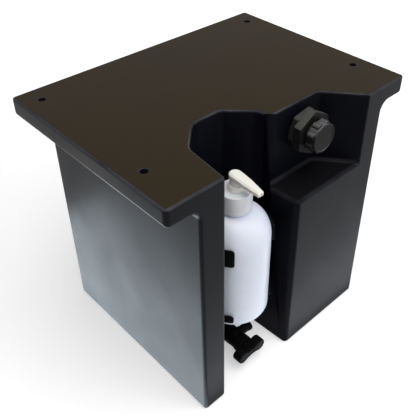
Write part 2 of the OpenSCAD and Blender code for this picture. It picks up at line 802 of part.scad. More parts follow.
module pump_gasket() color(rubber) on_bottle(lip_z) difference() {
    cylinder(r = flange_r, h = pump_gasket_t);
    translate([0, 0, -cut]) cylinder(r = barrel_r + thread_gap, h = pump_gasket_t + 2 * cut);
}

module pump_housing() color(pump_white) on_bottle(0) difference() {
    union() {
        translate([0, 0, barrel_floor_z - socket_len]) cylinder(r = socket_r, h = socket_len + cut);
        translate([0, 0, barrel_floor_z]) cylinder(r = barrel_r, h = barrel_len);
        translate([0, 0, flange_z]) cylinder(r = flange_r, h = flange_t);
        translate([0, 0, flange_z]) cylinder(r = throat_r, h = hub_z - flange_z);
    }
    translate([0, 0, spring_z]) cylinder(r = barrel_bore_r, h = tank_h);
    translate([0, 0, barrel_floor_z - cut]) cylinder(r = ball_seat_r, h = barrel_floor_t + 2 * cut);
    translate([0, 0, barrel_floor_z - socket_len - cut]) cylinder(r = dip_r + run_gap, h = socket_len + cut);
}

module pump_chaplet() color(pump_white) on_bottle(0) difference() {
    union() {
        translate([0, 0, hub_z]) cylinder(d = hub_d, h = hub_h);
        translate([0, 0, hub_z - chaplet_len]) cylinder(r = barrel_bore_r - run_gap, h = chaplet_len + cut);
    }
    translate([0, 0, hub_z - chaplet_len - cut])
        cylinder(r = stem_r + run_gap, h = chaplet_len + hub_h + 2 * cut);
}

module pump_collar() color(pump_white) on_bottle(0) difference() {
    translate([0, 0, collar_z]) cylinder(r = collar_r, h = collar_top_z - collar_z);
    translate([0, 0, collar_z - cut]) cylinder(r = collar_skirt_r, h = collar_roof_z - collar_z + cut);
    translate([0, 0, collar_roof_z - cut]) cylinder(r = throat_r + thread_gap, h = collar_top_t + 2 * cut);
}

// A coil swept as one tube between two end discs' worth of height
function coil_point(k, side) =
    let (
        turn = 360 * k / spring_rings,
        wire_r = spring_wire / 2,
        rise = spring_h - spring_wire - 2 * spring_end_gap,
        h = wire_r + spring_end_gap + rise * k / (spring_rings * spring_turns),
        a = 360 * side / spring_sides,
        r = spring_r + wire_r * cos(a)
    )
    [r * cos(turn), r * sin(turn), h + wire_r * sin(a)];

function at(k, side) = k * spring_sides + side % spring_sides;

module pump_spring() color(steel) on_bottle(spring_z) {
    last = spring_rings * spring_turns;
    points = [for (k = [0:last], side = [0:spring_sides - 1]) coil_point(k, side)];
    skin = [for (k = [0:last - 1], side = [0:spring_sides - 1]) each [
        [at(k, side), at(k, side + 1), at(k + 1, side + 1)],
        [at(k, side), at(k + 1, side + 1), at(k + 1, side)]
    ]];
    first_end = [for (side = [1:spring_sides - 2]) [at(0, 0), at(0, side + 1), at(0, side)]];
    last_end = [for (side = [1:spring_sides - 2]) [at(last, 0), at(last, side), at(last, side + 1)]];
    polyhedron(points, concat(skin, first_end, last_end));
}

module pump_ball() color(steel) on_bottle(ball_z) sphere(ball_r);

module pump_piston() color(pump_white) on_bottle(piston_z) difference() {
    cylinder(r = barrel_bore_r - run_gap, h = piston_h);
    translate([0, 0, -cut]) cylinder(r = stem_bore_r, h = piston_h + 2 * cut);
    translate([0, 0, piston_h / 2]) cylinder(r = stem_r + run_gap, h = piston_h);
}

module pump_stem() color(pump_white) on_bottle(piston_z + piston_h / 2) difference() {
    cylinder(r = stem_r, h = stem_top_z - piston_z - piston_h / 2);
    translate([0, 0, -cut]) cylinder(r = stem_bore_r, h = tank_h);
}

// Plan of the head: a round end, a broad bill and a blunt tip
module head_plan() {
    tip_y = tip_r - nozzle_reach;
    bill = [bill_r, bill_y];
    wide = tangent_at(0, head_r, bill, 1);
    narrow = tangent_at(tip_y, tip_r, bill, -1);
    union() {
        circle(head_r);
        translate([0, tip_y]) circle(tip_r);
        polygon([wide, bill, narrow, [-narrow.x, narrow.y], [-bill.x, bill.y], [-wide.x, wide.y]]);
    }
}

// Side view of the head, from its round end to the tip
module head_side() {
    end_y = head_r + cut;
    tip_y = -nozzle_reach - cut;
    polygon([
        [end_y, head_z], [-boss_r, head_z], [tip_y, tip_top_z - tip_h],
        [tip_y, tip_top_z], [-head_r / 2, head_top_z - head_crown], [0, head_top_z],
        [end_y, head_top_z - head_crown]
    ]);
}

module pump_head() color(pump_white) on_bottle(0) difference() {
    union() {
        intersection() {
            translate([0, 0, boss_z]) linear_extrude(head_top_z - boss_z) head_plan();
            translate([-head_w, 0, 0]) rotate([90, 0, 90]) linear_extrude(2 * head_w) head_side();
        }
        translate([0, 0, boss_z]) cylinder(r = boss_r, h = boss_h + cut);
    }
    translate([0, 0, boss_z - cut]) cylinder(r = stem_r + run_gap, h = stem_top_z - boss_z + cut);
    translate([0, 0, nozzle_bore_z]) rotate([90, 0, 0]) cylinder(r = nozzle_bore_r, h = nozzle_reach + cut);
}

module dip_tube() color(white) on_bottle(dip_foot_z) difference() {
    cylinder(r = dip_r, h = dip_top_z - dip_foot_z);
    translate([0, 0, -cut]) cylinder(r = dip_bore_r, h = dip_top_z - dip_foot_z + 2 * cut);
}

tank_shell();
filler_insert();
filler_gasket();
filler_connector();
filler_cap_seal();
filler_cap();
tap_insert();
tap_gasket();
tap_body();
tap_gland_nut();
tap_plug();
tap_o_rings();
tap_handle();
upper_clip();
lower_clip();
clip_screws();
clip_inserts();
bottle();
pump_gasket();
pump_housing();
pump_chaplet();
pump_collar();
pump_spring();
pump_ball();
pump_piston();
pump_stem();
pump_head();
dip_tube();
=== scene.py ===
import bmesh
import bpy
import math
from mathutils import Matrix, Vector


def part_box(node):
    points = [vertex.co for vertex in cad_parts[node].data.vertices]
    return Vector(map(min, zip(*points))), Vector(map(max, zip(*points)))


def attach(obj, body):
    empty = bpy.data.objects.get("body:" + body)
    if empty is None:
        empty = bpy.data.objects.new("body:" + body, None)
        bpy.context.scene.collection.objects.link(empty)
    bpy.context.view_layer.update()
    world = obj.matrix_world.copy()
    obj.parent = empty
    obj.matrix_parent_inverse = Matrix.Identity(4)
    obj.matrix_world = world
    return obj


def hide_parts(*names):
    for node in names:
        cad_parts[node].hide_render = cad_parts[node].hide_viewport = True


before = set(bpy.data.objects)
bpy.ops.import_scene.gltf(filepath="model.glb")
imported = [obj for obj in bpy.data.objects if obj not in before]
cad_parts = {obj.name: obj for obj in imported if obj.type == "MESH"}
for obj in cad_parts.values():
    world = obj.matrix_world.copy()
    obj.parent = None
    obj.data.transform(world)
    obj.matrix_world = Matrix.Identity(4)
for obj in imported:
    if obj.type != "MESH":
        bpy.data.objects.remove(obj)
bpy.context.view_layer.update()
scene = bpy.context.scene
print("frame loaded,", len(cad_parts), "nodes")


# small shape helpers, all in metres

weld = 2e-6  # points nearer than this are one point
sameRadius = 1e-6
quarter = math.pi / 2
fullTurn = 2 * math.pi


def smoothStep(low, high, value):
    t = min(1, max(0, (value - low) / (high - low)))
    return t * t * (3 - 2 * t)


def quarterArc(steps):
    # sine and cosine at even steps through a quarter turn
    return [(math.sin(quarter * k / steps), math.cos(quarter * k / steps)) for k in range(steps + 1)]


def middleOf(node):
    low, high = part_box(node)
    return (low + high) / 2


def radiusOf(node):
    low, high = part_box(node)
    return (high.x - low.x) / 2


def uprightAxis(node):
    middle = middleOf(node)
    return Matrix.Translation((middle.x, middle.y, 0))


def forwardAxis(x, z):
    # local z runs to the front, so a height along this axis is minus the world y
    return Matrix(((1, 0, 0, x), (0, 0, -1, 0), (0, 1, 0, z), (0, 0, 0, 1)))


def forwardAxisOf(node):
    middle = middleOf(node)
    return forwardAxis(middle.x, middle.z)


def backAndFront(node):
    # both ends of a node as heights along a forward axis
    low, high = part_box(node)
    return -high.y, -low.y


def softened(points, steps=5):
    # (radius, height, corner softness) into a path with its corners turned into arcs
    path = []
    for k, (r, h, soft) in enumerate(points):
        here = Vector((r, h))
        if soft == 0 or k in (0, len(points) - 1):
            path.append(here)
            continue
        toLast = (Vector(points[k - 1][:2]) - here).normalized()
        toNext = (Vector(points[k + 1][:2]) - here).normalized()
        half = toLast.angle(toNext) / 2
        middle = here + (toLast + toNext).normalized() * soft / math.sin(half)
        first = here + toLast * soft / math.tan(half) - middle
        last = here + toNext * soft / math.tan(half) - middle
        start = math.atan2(first.y, first.x)
        sweep = math.atan2(first.x * last.y - first.y * last.x, first.dot(last))
        for i in range(steps + 1):
            turn = start + sweep * i / steps
            path.append(middle + soft * Vector((math.cos(turn), math.sin(turn))))
    return path


def skinned(rings, loop=False):
    # a closed skin over rings of points; a loop joins its last ring to its first instead of capping both
    bm = bmesh.new()
    rows = [[bm.verts.new(point) for point in ring] for ring in rings]
    pairs = list(zip(rows, rows[1:]))
    if loop:
        pairs.append((rows[-1], rows[0]))
    for low, high in pairs:
        for k in range(len(low)):
            n = (k + 1) % len(low)
            bm.faces.new((low[k], low[n], high[n], high[k]))
    if not loop:
        bm.faces.new(rows[0][::-1])
        bm.faces.new(rows[-1])
    bmesh.ops.remove_doubles(bm, verts=bm.verts, dist=weld)
    return bm


def turned(path, axis, sides, shape=None, loop=False):
    # a path of (radius, height) taken round an axis; shape may change the radius on the way
    rings = []
    for r, h in path:
        ring = []
        for k in range(sides):
            turn = fullTurn * k / sides
            reach = shape(turn, r, h) if shape else r
            ring.append(axis @ Vector((reach * math.cos(turn), reach * math.sin(turn), h)))
        rings.append(ring)
    return skinned(rings, loop)


def threadRise(turn, h, start, stop, thread):
    # how far a thread stands up here, run out towards both of its ends
    phase = (h / thread["pitch"] - turn / fullTurn) % 1
    ridge = smoothStep(*thread["band"], 0.5 - abs(phase - 0.5))
    fade = min(1, (h - start) / thread["fade"], (stop - h) / thread["fade"])
    return thread["deep"] * ridge * max(0, fade)


def softBlock(low, high, soft, segments=3):
    bm = bmesh.new()
    bmesh.ops.create_cube(bm, size=1)
    size = high - low
    middle = (high + low) / 2
    for vert in bm.verts:
        vert.co = Vector([middle[i] + vert.co[i] * size[i] for i in range(3)])
    bmesh.ops.bevel(bm, geom=bm.edges[:], offset=soft, segments=segments, profile=0.5, affect="EDGES")
    return bm


def ribbonRing(middle, outward, up, thick, tall, soft, steps=3):
    # a rounded upright slab section, for bands
    ring = []
    corners = [(1, 1), (-1, 1), (-1, -1), (1, -1)]
    for k, (sx, sy) in enumerate(corners):
        for i in range(steps + 1):
            turn = quarter * (k + i / steps)
            x = sx * (thick / 2 - soft) + soft * math.cos(turn)
            y = sy * (tall / 2 - soft) + soft * math.sin(turn)
            ring.append(middle + outward * x + up * y)
    return ring


# from shapes to pieces

def meshFrom(bm, name):
    bmesh.ops.recalc_face_normals(bm, faces=bm.faces)
    mesh = bpy.data.meshes.new(name)
    bm.to_mesh(mesh)
    bm.free()
    return mesh


def placed(name, data):
    obj = bpy.data.objects.new(name, data)
    scene.collection.objects.link(obj)
    return obj


def joined(shapes):
    whole = bmesh.new()
    for bm in shapes:
        part = meshFrom(bm, "joinedPart")
        whole.from_mesh(part)
        bpy.data.meshes.remove(part)
    return whole


def shade(obj, crease):
    obj.data.shade_smooth()
    obj.data.set_sharp_from_angle(angle=math.radians(crease))


def settle(obj):
    # turns the modified shape into the piece's own mesh
    depsgraph = bpy.context.evaluated_depsgraph_get()
    fresh = bpy.data.meshes.new_from_object(obj.evaluated_get(depsgraph))
    old = obj.data
    obj.modifiers.clear()
    obj.data = fresh
    bpy.data.meshes.remove(old)


def cutAway(obj, cutters, crease, tangled=False):
    # takes closed shapes out of a piece for good; a tangled piece is one whose own shapes overlap
    for k, bm in enumerate(cutters):
        mesh = meshFrom(bm, "cutter")
        tool = placed("cutter", mesh)
        cut = obj.modifiers.new("cut", "BOOLEAN")
        cut.operation = "DIFFERENCE"
        cut.solver = "EXACT"
        cut.use_self = tangled and k == 0
        cut.object = tool
        settle(obj)
        bpy.data.objects.remove(tool)
        bpy.data.meshes.remove(mesh)
    bm = bmesh.new()
    bm.from_mesh(obj.data)
    bmesh.ops.dissolve_degenerate(bm, edges=bm.edges, dist=weld)
    bm.to_mesh(obj.data)
    bm.free()
    shade(obj, crease)


def addPiece(name, bm, finish, body, stands, crease):
    obj = placed(name, meshFrom(bm, name))
    obj.data.materials.append(finish)
    shade(obj, crease)
    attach(obj, body)
    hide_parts(stands)
    return obj


# finishes

class Nodes:
    def __init__(self, owner):
        owner.use_nodes = True
        self.nodes = owner.node_tree.nodes
        self.links = owner.node_tree.links

    def node(self, kind, values=None, links=None, **settings):
        # makes a node with its settings, input values and input links, and gives its outputs
        node = self.nodes.new("ShaderNode" + kind)
        for name, value in settings.items():
            setattr(node, name, value)
        for name, value in (values or {}).items():
            node.inputs[name].default_value = value
        for name, output in (links or {}).items():
            self.links.new(output, node.inputs[name])
        return node.outputs


class Finish(Nodes):
    def __init__(self, name):
        self.material = bpy.data.materials.new(name)
        super().__init__(self.material)
        self.shader = self.nodes["Principled BSDF"]
        self.coordinates = self.node("TexCoord")
        self.place = self.coordinates["Object"]

    def noise(self, scale, detail=3, rough=0.55, stretch=None):
        place = self.place
        if stretch:
            place = self.node("Mapping", {"Scale": stretch}, {"Vector": place})["Vector"]
        values = {"Scale": scale, "Detail": detail, "Roughness": rough}
        return self.node("TexNoise", values, {"Vector": place})["Fac"]

    def ramp(self, value, stops):
        node = self.nodes.new("ShaderNodeValToRGB")
        band = node.color_ramp
        for element, (place, tone) in zip(band.elements, stops):
            element.position = place
            element.color = (*tone, 1)
        self.links.new(value, node.inputs["Fac"])
        return node.outputs["Color"]

    def spread(self, value, low, high, fromLow=0.3, fromHigh=0.7):
        values = {"From Min": fromLow, "From Max": fromHigh, "To Min": low, "To Max": high}
        return self.node("MapRange", values, {"Value": value})["Result"]

    def bump(self, height, depth, strength=1.0, under=None):
        links = {"Height": height}
        if under:
            links["Normal"] = under
        return self.node("Bump", {"Strength": strength, "Distance": depth}, links)["Normal"]

    def times(self, first, second, clamp=False):
        return self.node("Math", links={0: first, 1: second}, operation="MULTIPLY", use_clamp=clamp)["Value"]

    def cover(self, socket, share, over, kind):
        # lays a value over whatever feeds a socket so far, by a share that differs from place to place
        under = self.shader.inputs[socket].links[0].from_socket
        mixed = self.node("Mix", {"B": over}, {"Factor": share, "A": under}, data_type=kind)
        self.join(mixed["Result"], socket)

    def join(self, output, socket):
        self.links.new(output, self.shader.inputs[socket])

    def fix(self, **values):
        for name, value in values.items():
            self.shader.inputs[name.replace("_", " ")].default_value = value


mouldedNoise = {"cloudDetail": 4, "cloudBand": (0.3, 0.7), "patchDetail": 3, "rippleDetail": 1,
                "grainDetail": 2, "grainStrength": 0.6}
dustAndTopLightNoise = {"detail": 5, "rough": 0.6, "range": (0.8, 1.1)}
# painted highlight on rounded edges: the facing bands where it lies, and its patches
edgeHighlightNoise = {"detail": 3, "range": (0.35, 1.2), "rise": (0.10, 0.35), "fall": (0.90, 0.99)}
metalNoise = {"stainDetail": 4, "stainBand": (0.35, 0.65), "ringDetail": 2, "ringRough": 0.5,
              "ringStretch": (0.06, 1, 0.06)}


def mouldedFinish(name, look):
    # a moulded plastic: cloudy tone, patchy gloss, fine grain over a slow ripple
    finish = Finish(name)
    cloud = finish.noise(look["cloudScale"], mouldedNoise["cloudDetail"])
    tones = zip(mouldedNoise["cloudBand"], (look["tone"], look["cloudTone"]))
    finish.join(finish.ramp(cloud, tones), "Base Color")
    patches = finish.noise(look["patchScale"], mouldedNoise["patchDetail"])
    finish.join(finish.spread(patches, *look["gloss"]), "Roughness")
    ripple = finish.bump(finish.noise(look["rippleScale"], mouldedNoise["rippleDetail"]), look["rippleDepth"])
    grain = finish.noise(look["grainScale"], mouldedNoise["grainDetail"])
    finish.join(finish.bump(grain, look["grainDepth"], mouldedNoise["grainStrength"], ripple), "Normal")
    finish.fix(IOR=look["ior"], Specular_IOR_Level=look["shine"])
    return finish


def dustAndTopLightFinish(name, look):
    # a film lies on whatever looks up while the piece is at rest: dust, and painted light that makes
    # up-facing faces paler and glossier as if lit from above
    finish = mouldedFinish(name, look)
    facing = finish.node("SeparateXYZ", links={"Vector": finish.coordinates["Normal"]})["Z"]
    upward = finish.spread(facing, 0, 1, *look["dustAndTopLightFrom"])
    streaks = finish.noise(look["dustAndTopLightScale"], dustAndTopLightNoise["detail"], dustAndTopLightNoise["rough"])
    dustAndTopLightFilm = finish.times(upward, finish.spread(streaks, *dustAndTopLightNoise["range"]), True)
    finish.cover("Base Color", dustAndTopLightFilm, (*look["dustAndTopLightTone"], 1), "RGBA")
    # painted highlight along the rounded edges
    if "edgeHighlightTone" in look:
        paintEdgeHighlights(finish, look, facing)
    finish.cover("Roughness", dustAndTopLightFilm, look["dustAndTopLightGloss"], "FLOAT")
    finish.join(finish.spread(dustAndTopLightFilm, look["shine"], look["dustAndTopLightShine"], 0, 1), "Specular IOR Level")
    return finish


def paintEdgeHighlights(finish, look, facing):
    # rounded edges between level and upright faces are painted paler, in patches: a painted highlight
    rising = finish.spread(facing, 0, 1, *edgeHighlightNoise["rise"])
    falling = finish.spread(facing, 1, 0, *edgeHighlightNoise["fall"])
    patches = finish.spread(finish.noise(look["edgeHighlightScale"], edgeHighlightNoise["detail"]), *edgeHighlightNoise["range"])
    highlighted = finish.times(finish.times(rising, falling), patches, True)
    finish.cover("Base Color", highlighted, (*look["edgeHighlightTone"], 1), "RGBA")


def milkyFinish(name, look):
    finish = mouldedFinish(name, look)
    finish.fix(Subsurface_Weight=look["milkWeight"], Subsurface_Scale=look["milkScale"])
    return finish


def metalFinish(name, look):
    # turned metal: fine rings along the turning axis, stained in patches
    finish = Finish(name)
    stain = finish.noise(look["stainScale"], metalNoise["stainDetail"])
    tones = zip(metalNoise["stainBand"], (look["tone"], look["stainTone"]))
    finish.join(finish.ramp(stain, tones), "Base Color")
    finish.join(finish.spread(stain, *look["gloss"]), "Roughness")
    rings = finish.noise(look["ringScale"], metalNoise["ringDetail"], metalNoise["ringRough"],
                         metalNoise["ringStretch"])
    finish.join(finish.bump(rings, look["ringDepth"]), "Normal")
    finish.fix(Metallic=1.0)
    return finish


# the tank's up-facing film is dust and painted light from above; its pale edges are a painted highlight
tankLook = {
    "tone": (0.0058, 0.0062, 0.0084), "cloudTone": (0.0082, 0.0087, 0.0112), "cloudScale": 9,
    "gloss": (0.34, 0.42), "patchScale": 14, "rippleScale": 7, "rippleDepth": 0.0006,
    "grainScale": 650, "grainDepth": 0.00005, "ior": 1.36, "shine": 0.08,
    "dustAndTopLightTone": (0.023, 0.0165, 0.0080), "dustAndTopLightScale": 5, "dustAndTopLightGloss": 0.48, "dustAndTopLightShine": 0.08,
    "dustAndTopLightFrom": (0.90, 0.99), "edgeHighlightTone": (0.048, 0.048, 0.057), "edgeHighlightScale": 28,
}
# a darker, duller copy of the tank's black for the bay and recess walls: painted shade
recessShadeLook = {
    "tone": (0.002, 0.0022, 0.004), "cloudTone": (0.003, 0.0033, 0.006), "cloudScale": 12,
    "gloss": (0.40, 0.52), "patchScale": 18, "rippleScale": 9, "rippleDepth": 0.0005,
    "grainScale": 650, "grainDepth": 0.00008, "ior": 1.36, "shine": 0.05,
    "dustAndTopLightTone": (0.005, 0.005, 0.006), "dustAndTopLightScale": 8, "dustAndTopLightGloss": 0.50, "dustAndTopLightShine": 0.04,
    "dustAndTopLightFrom": (0.75, 0.98), "edgeHighlightTone": (0.014, 0.014, 0.017), "edgeHighlightScale": 28,
}
fittingLook = {
    "tone": (0.003, 0.003, 0.0035), "cloudTone": (0.005, 0.005, 0.0055), "cloudScale": 60,
    "gloss": (0.36, 0.46), "patchScale": 90, "rippleScale": 60, "rippleDepth": 0.0001,
    "grainScale": 1500, "grainDepth": 0.00004, "ior": 1.36, "shine": 0.06,
}
# the filler's up-facing faces take a paler film: painted light from above, glossier on the cap as a painted
# sheen
fillerLook = {
    "patchScale": 120, "rippleScale": 80, "rippleDepth": 0.0001, "grainScale": 1800, "grainDepth": 0.00003,
    "ior": 1.5, "dustAndTopLightScale": 60, "dustAndTopLightFrom": (0.25, 0.8),
}
capLook = {
    **fillerLook, "tone": (0.008, 0.008, 0.0085), "cloudTone": (0.013, 0.013, 0.0135), "cloudScale": 80,
    "gloss": (0.30, 0.40), "shine": 0.04, "dustAndTopLightTone": (0.055, 0.055, 0.058), "dustAndTopLightGloss": 0.24,
    "dustAndTopLightShine": 0.45,
}
neckLook = {
    **fillerLook, "tone": (0.007, 0.007, 0.007), "cloudTone": (0.012, 0.012, 0.0115), "cloudScale": 120,
    "gloss": (0.38, 0.48), "shine": 0.05, "dustAndTopLightTone": (0.056, 0.056, 0.051), "dustAndTopLightGloss": 0.45,
    "dustAndTopLightShine": 0.15,
}
bottleLook = {
    "tone": (0.72, 0.75, 0.85), "cloudTone": (0.765, 0.79, 0.895), "cloudScale": 18,
    "gloss": (0.30, 0.40), "patchScale": 30, "rippleScale": 22, "rippleDepth": 0.0003,
    "grainScale": 900, "grainDepth": 0.00003, "ior": 1.5, "shine": 0.5,
    "milkWeight": 0.25, "milkScale": 0.004,
}
whiteLook = {
    "cloudScale": 60, "patchScale": 80, "rippleScale": 90, "rippleDepth": 0.0001, "grainScale": 1600,
    "grainDepth": 0.00002, "ior": 1.49, "shine": 0.5, "milkWeight": 0.2, "milkScale": 0.002,
}
# the collar's copy of the pump white, darker and bluer than the head's: painted shade
collarShadedLook = {
    **whiteLook, "tone": (0.70, 0.71, 0.75), "cloudTone": (0.74, 0.75, 0.79), "gloss": (0.28, 0.38),
}
pumpLook = {
    **whiteLook, "tone": (0.80, 0.785, 0.735), "cloudTone": (0.84, 0.825, 0.78), "gloss": (0.26, 0.36),
}
naturalLook = {
    **whiteLook, "tone": (0.66, 0.67, 0.64), "cloudTone": (0.72, 0.73, 0.70), "cloudScale": 70,
    "gloss": (0.24, 0.34), "patchScale": 90, "grainScale": 1500, "milkWeight": 0.4, "milkScale": 0.003,
}
sealLook = {
    "tone": (0.010, 0.010, 0.010), "cloudTone": (0.018, 0.018, 0.018), "cloudScale": 160,
    "gloss": (0.62, 0.78), "patchScale": 200, "rippleScale": 120, "rippleDepth": 0.00005,
    "grainScale": 2200, "grainDepth": 0.00006, "ior": 1.52, "shine": 0.5,
}
brassLook = {
    "tone": (0.60, 0.42, 0.17), "stainTone": (0.48, 0.33, 0.13), "stainScale": 120,
    "gloss": (0.24, 0.40), "ringScale": 2400, "ringDepth": 0.00003,
}
steelLook = {
    "tone": (0.62, 0.63, 0.64), "stainTone": (0.50, 0.51, 0.52), "stainScale": 200,
    "gloss": (0.20, 0.34), "ringScale": 2600, "ringDepth": 0.00002,
}

tankBlack = dustAndTopLightFinish("tankBlack", tankLook).material
innerBlack = dustAndTopLightFinish("innerBlack", recessShadeLook).material
fittingBlack = mouldedFinish("fittingBlack", fittingLook).material
capBlack = dustAndTopLightFinish("capBlack", capLook).material
neckBlack = dustAndTopLightFinish("neckBlack", neckLook).material
sealBlack = mouldedFinish("sealBlack", sealLook).material
bottleWhite = milkyFinish("bottleWhite", bottleLook).material
# the collar's white is a darker, bluer copy: painted shade
collarShadedWhite = milkyFinish("collarShadedWhite", collarShadedLook).material
pumpWhite = milkyFinish("pumpWhite", pumpLook).material
naturalClear = milkyFinish("naturalClear", naturalLook).material
brassTurned = metalFinish("brassTurned", brassLook).material
steelTurned = metalFinish("steelTurned", steelLook).material
print("finishes made")


# the tank moulding: flat panels between named plan corners, then every edge softened by its own radius

tank = {
    "plateThick": 0.025, "overhang": 0.043, "recessTall": 0.103,
    "frontWide": 0.248, "bayWide": 0.126, "bayDeep": 0.0995, "recessDeep": 0.050,
    "leftLean": 0.0102, "rightLean": 0.006, "leftBevel": 0.0345, "rightBevel": 0.033, "recessBevel": 0.0405,
    "topEdge": 0.0036, "baseEdge": 0.004, "flangeEdge": 0.006, "flangeRoot": 0.014, "rootSteps": 7,
    "bodyEdge": 0.0042, "plateCorner": 0.006, "mouthEdge": 0.0042, "mouthFull": 0.0024, "blockEdge": 0.008,
    "bayRound": 0.024, "bayCorner": 0.013, "noseEdge": 0.014, "recessCorner": 0.012,
    "ledgeEdge": 0.006, "ledgeRoot": 0.006, "edgeSegments": 5,
    "boltEdge": 0.025, "boltFront": 0.065, "boltBack": 0.030, "boltRadius": 0.0045, "boltRim": 0.0010,
    "boltPast": 0.004, "boltSides": 48, "aheadFacing": 0.9, "levelFacing": 0.6,
    "crease": 50, "flatWeight": 100,
}
uprightEdges = {
    "mouthL": "mouthEdge", "mouthM": "blockEdge", "mouthR": "mouthEdge", "nose": "noseEdge",
    "bayA": "bayRound", "bayB": "bayRound", "bayC": "bayCorner", "bayD": "bayRound", "recess": "recessCorner",
}


def tankPlan():
    low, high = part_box("tank_shell")
    left, right, front, back = low.x, high.x, low.y, high.y
    bodyLeft, bodyRight = left + tank["overhang"], right - tank["overhang"]
    frontLeft, frontRight = -tank["frontWide"] / 2, tank["frontWide"] / 2
    bayEnd = frontLeft + tank["bayWide"]
    bayBack = front + tank["bayDeep"]
    recessBack = front + tank["recessDeep"]
    # the rounded mouth edges stand a little full, so that their outline falls on the plain corners
    bayLeft = frontLeft + tank["mouthFull"]
    bayRight = bayEnd - tank["mouthFull"]
    plan = {
        "plateFL": (left, front), "plateFR": (right, front),
        "plateBR": (right, back), "plateBL": (left, back),
        "bodyFL": (bodyLeft, front), "bodyFR": (bodyRight, front),
        "bodyBR": (bodyRight, back), "bodyBL": (bodyLeft, back),
        "mouthL": (bayLeft, front), "mouthM": (bayRight, front), "mouthR": (frontRight, front),
        "bayA": (frontLeft + tank["leftLean"], bayBack - tank["leftBevel"]),
        "bayD": (bayEnd - tank["rightLean"], bayBack - tank["rightBevel"]),
        "recess": (frontRight - tank["recessBevel"], recessBack),
    }
    dx, dy = plan["bayD"]
    plan["bayB"] = (plan["bayA"][0] + tank["leftBevel"], bayBack)
    plan["bayC"] = (dx - tank["rightBevel"], bayBack)
    share = (recessBack - dy) / (front - dy)
    plan["nose"] = (dx + (bayRight - dx) * share, recessBack)
    return plan


def tankEdgeRadius(a, b):
    (planA, levelA), (planB, levelB) = a, b
    if levelA != levelB:
        plain = "plateCorner" if planA.startswith("plate") and planB == planA else "bodyEdge"
        return tank[uprightEdges.get(planA, plain)]
    if isinstance(levelA, int):
        return 0
    if levelA == "ledge":
        return tank["ledgeRoot" if "recess" in (planA, planB) else "ledgeEdge"]
    return tank[{"top": "topEdge", "base": "baseEdge", "plate": "flangeEdge"}[levelA]]


def inShadedRecess(face, front, ledge):
    # walls and floor of the bay and the recess, by where they stand and which way they look; they take the
    # darker, duller black as painted shade
    x, y, z = face.center
    ahead = face.normal.y < -tank["aheadFacing"] and y < front + tank["mouthEdge"]
    level = abs(face.normal.z) > tank["levelFacing"] and abs(z - ledge) > tank["ledgeRoot"]
    inside = abs(x) < tank["frontWide"] / 2 and y < front + tank["bayDeep"] + tank["mouthEdge"]
    return inside and not ahead and not level


def tankPanels(heights):
    # the sharp-edged moulding, with the key (plan corner, level) of every corner point
    plan = tankPlan()
    bm = bmesh.new()
    bm.edges.layers.float.new("bevel_weight_edge")
    corners = {}
    last = tank["rootSteps"]

    def place(name, level):
        # a whole number is a step along the fillet from the body's side to the flange's underside
        x, y = plan[name]
        if not isinstance(level, int):
            return (x, y, heights[level])
        r = math.copysign(tank["flangeRoot"], x)
        turn = quarter * level / last
        return (x + r * (1 - math.cos(turn)), y, heights["plate"] - abs(r) * (1 - math.sin(turn)))

    def corner(key):
        if key not in corners:
            corners[key] = bm.verts.new(place(*key))
        return corners[key]

    def panel(*keys):
        bm.faces.new([corner(key) for key in keys])

    def wall(a, b, lowLevel, highLevel):
        panel((a, lowLevel), (b, lowLevel), (b, highLevel), (a, highLevel))

    def fillet(name):
        return [(name, k) for k in range(last + 1)]

    bay = ["mouthL", "bayA", "bayB", "bayC", "bayD"]
    lower = ["bodyFL"] + bay + ["mouthM", "bodyFR", "bodyBR", "bodyBL"]
    upper = ["plateFL"] + bay + ["nose", "recess", "mouthR", "plateFR", "plateBR", "plateBL"]
    panel(*[(name, "base") for name in lower[::-1]])
    panel(*[(name, "top") for name in upper])
    panel(("bodyFL", "base"), ("mouthL", "base"), ("mouthL", "top"), ("plateFL", "top"),
          ("plateFL", "plate"), *fillet("bodyFL")[::-1])
    for a, b in zip(bay, bay[1:]):
        wall(a, b, "base", "top")
    panel(("bayD", "base"), ("mouthM", "base"), ("mouthM", "ledge"), ("nose", "ledge"),
          ("nose", "top"), ("bayD", "top"))
    wall("nose", "recess", "ledge", "top")
    wall("recess", "mouthR", "ledge", "top")
    panel(("nose", "ledge"), ("mouthM", "ledge"), ("mouthR", "ledge"), ("recess", "ledge"))
    panel(("mouthM", "base"), ("bodyFR", "base"), *fillet("bodyFR"), ("plateFR", "plate"),
          ("plateFR", "top"), ("mouthR", "top"), ("mouthR", "ledge"), ("mouthM", "ledge"))
    for a, b in (("FR", "BR"), ("BL", "FL")):
        wall("body" + a, "body" + b, "base", 0)
        for k in range(last):
            wall("body" + a, "body" + b, k, k + 1)
        wall("plate" + a, "plate" + b, "plate", "top")
        panel(("plate" + a, "plate"), ("plate" + b, "plate"), ("body" + b, last), ("body" + a, last))
    panel(("bodyBR", "base"), ("bodyBL", "base"), *fillet("bodyBL"), ("plateBL", "plate"),
          ("plateBL", "top"), ("plateBR", "top"), ("plateBR", "plate"), *fillet("bodyBR")[::-1])
    bmesh.ops.recalc_face_normals(bm, faces=bm.faces)
    return bm, {vert: key for key, vert in corners.items()}


def weighEdges(bm, keys):
    # gives each edge its share of the widest softening, which it returns
    weights = bm.edges.layers.float["bevel_weight_edge"]
    setbacks = {}
    for edge in bm.edges:
        a, b = [keys[vert] for vert in edge.verts]
        setbacks[edge] = tankEdgeRadius(a, b) * math.tan(edge.calc_face_angle(0) / 2)
    widest = max(setbacks.values())
    for edge, setback in setbacks.items():
        edge[weights] = setback / widest
    return widest


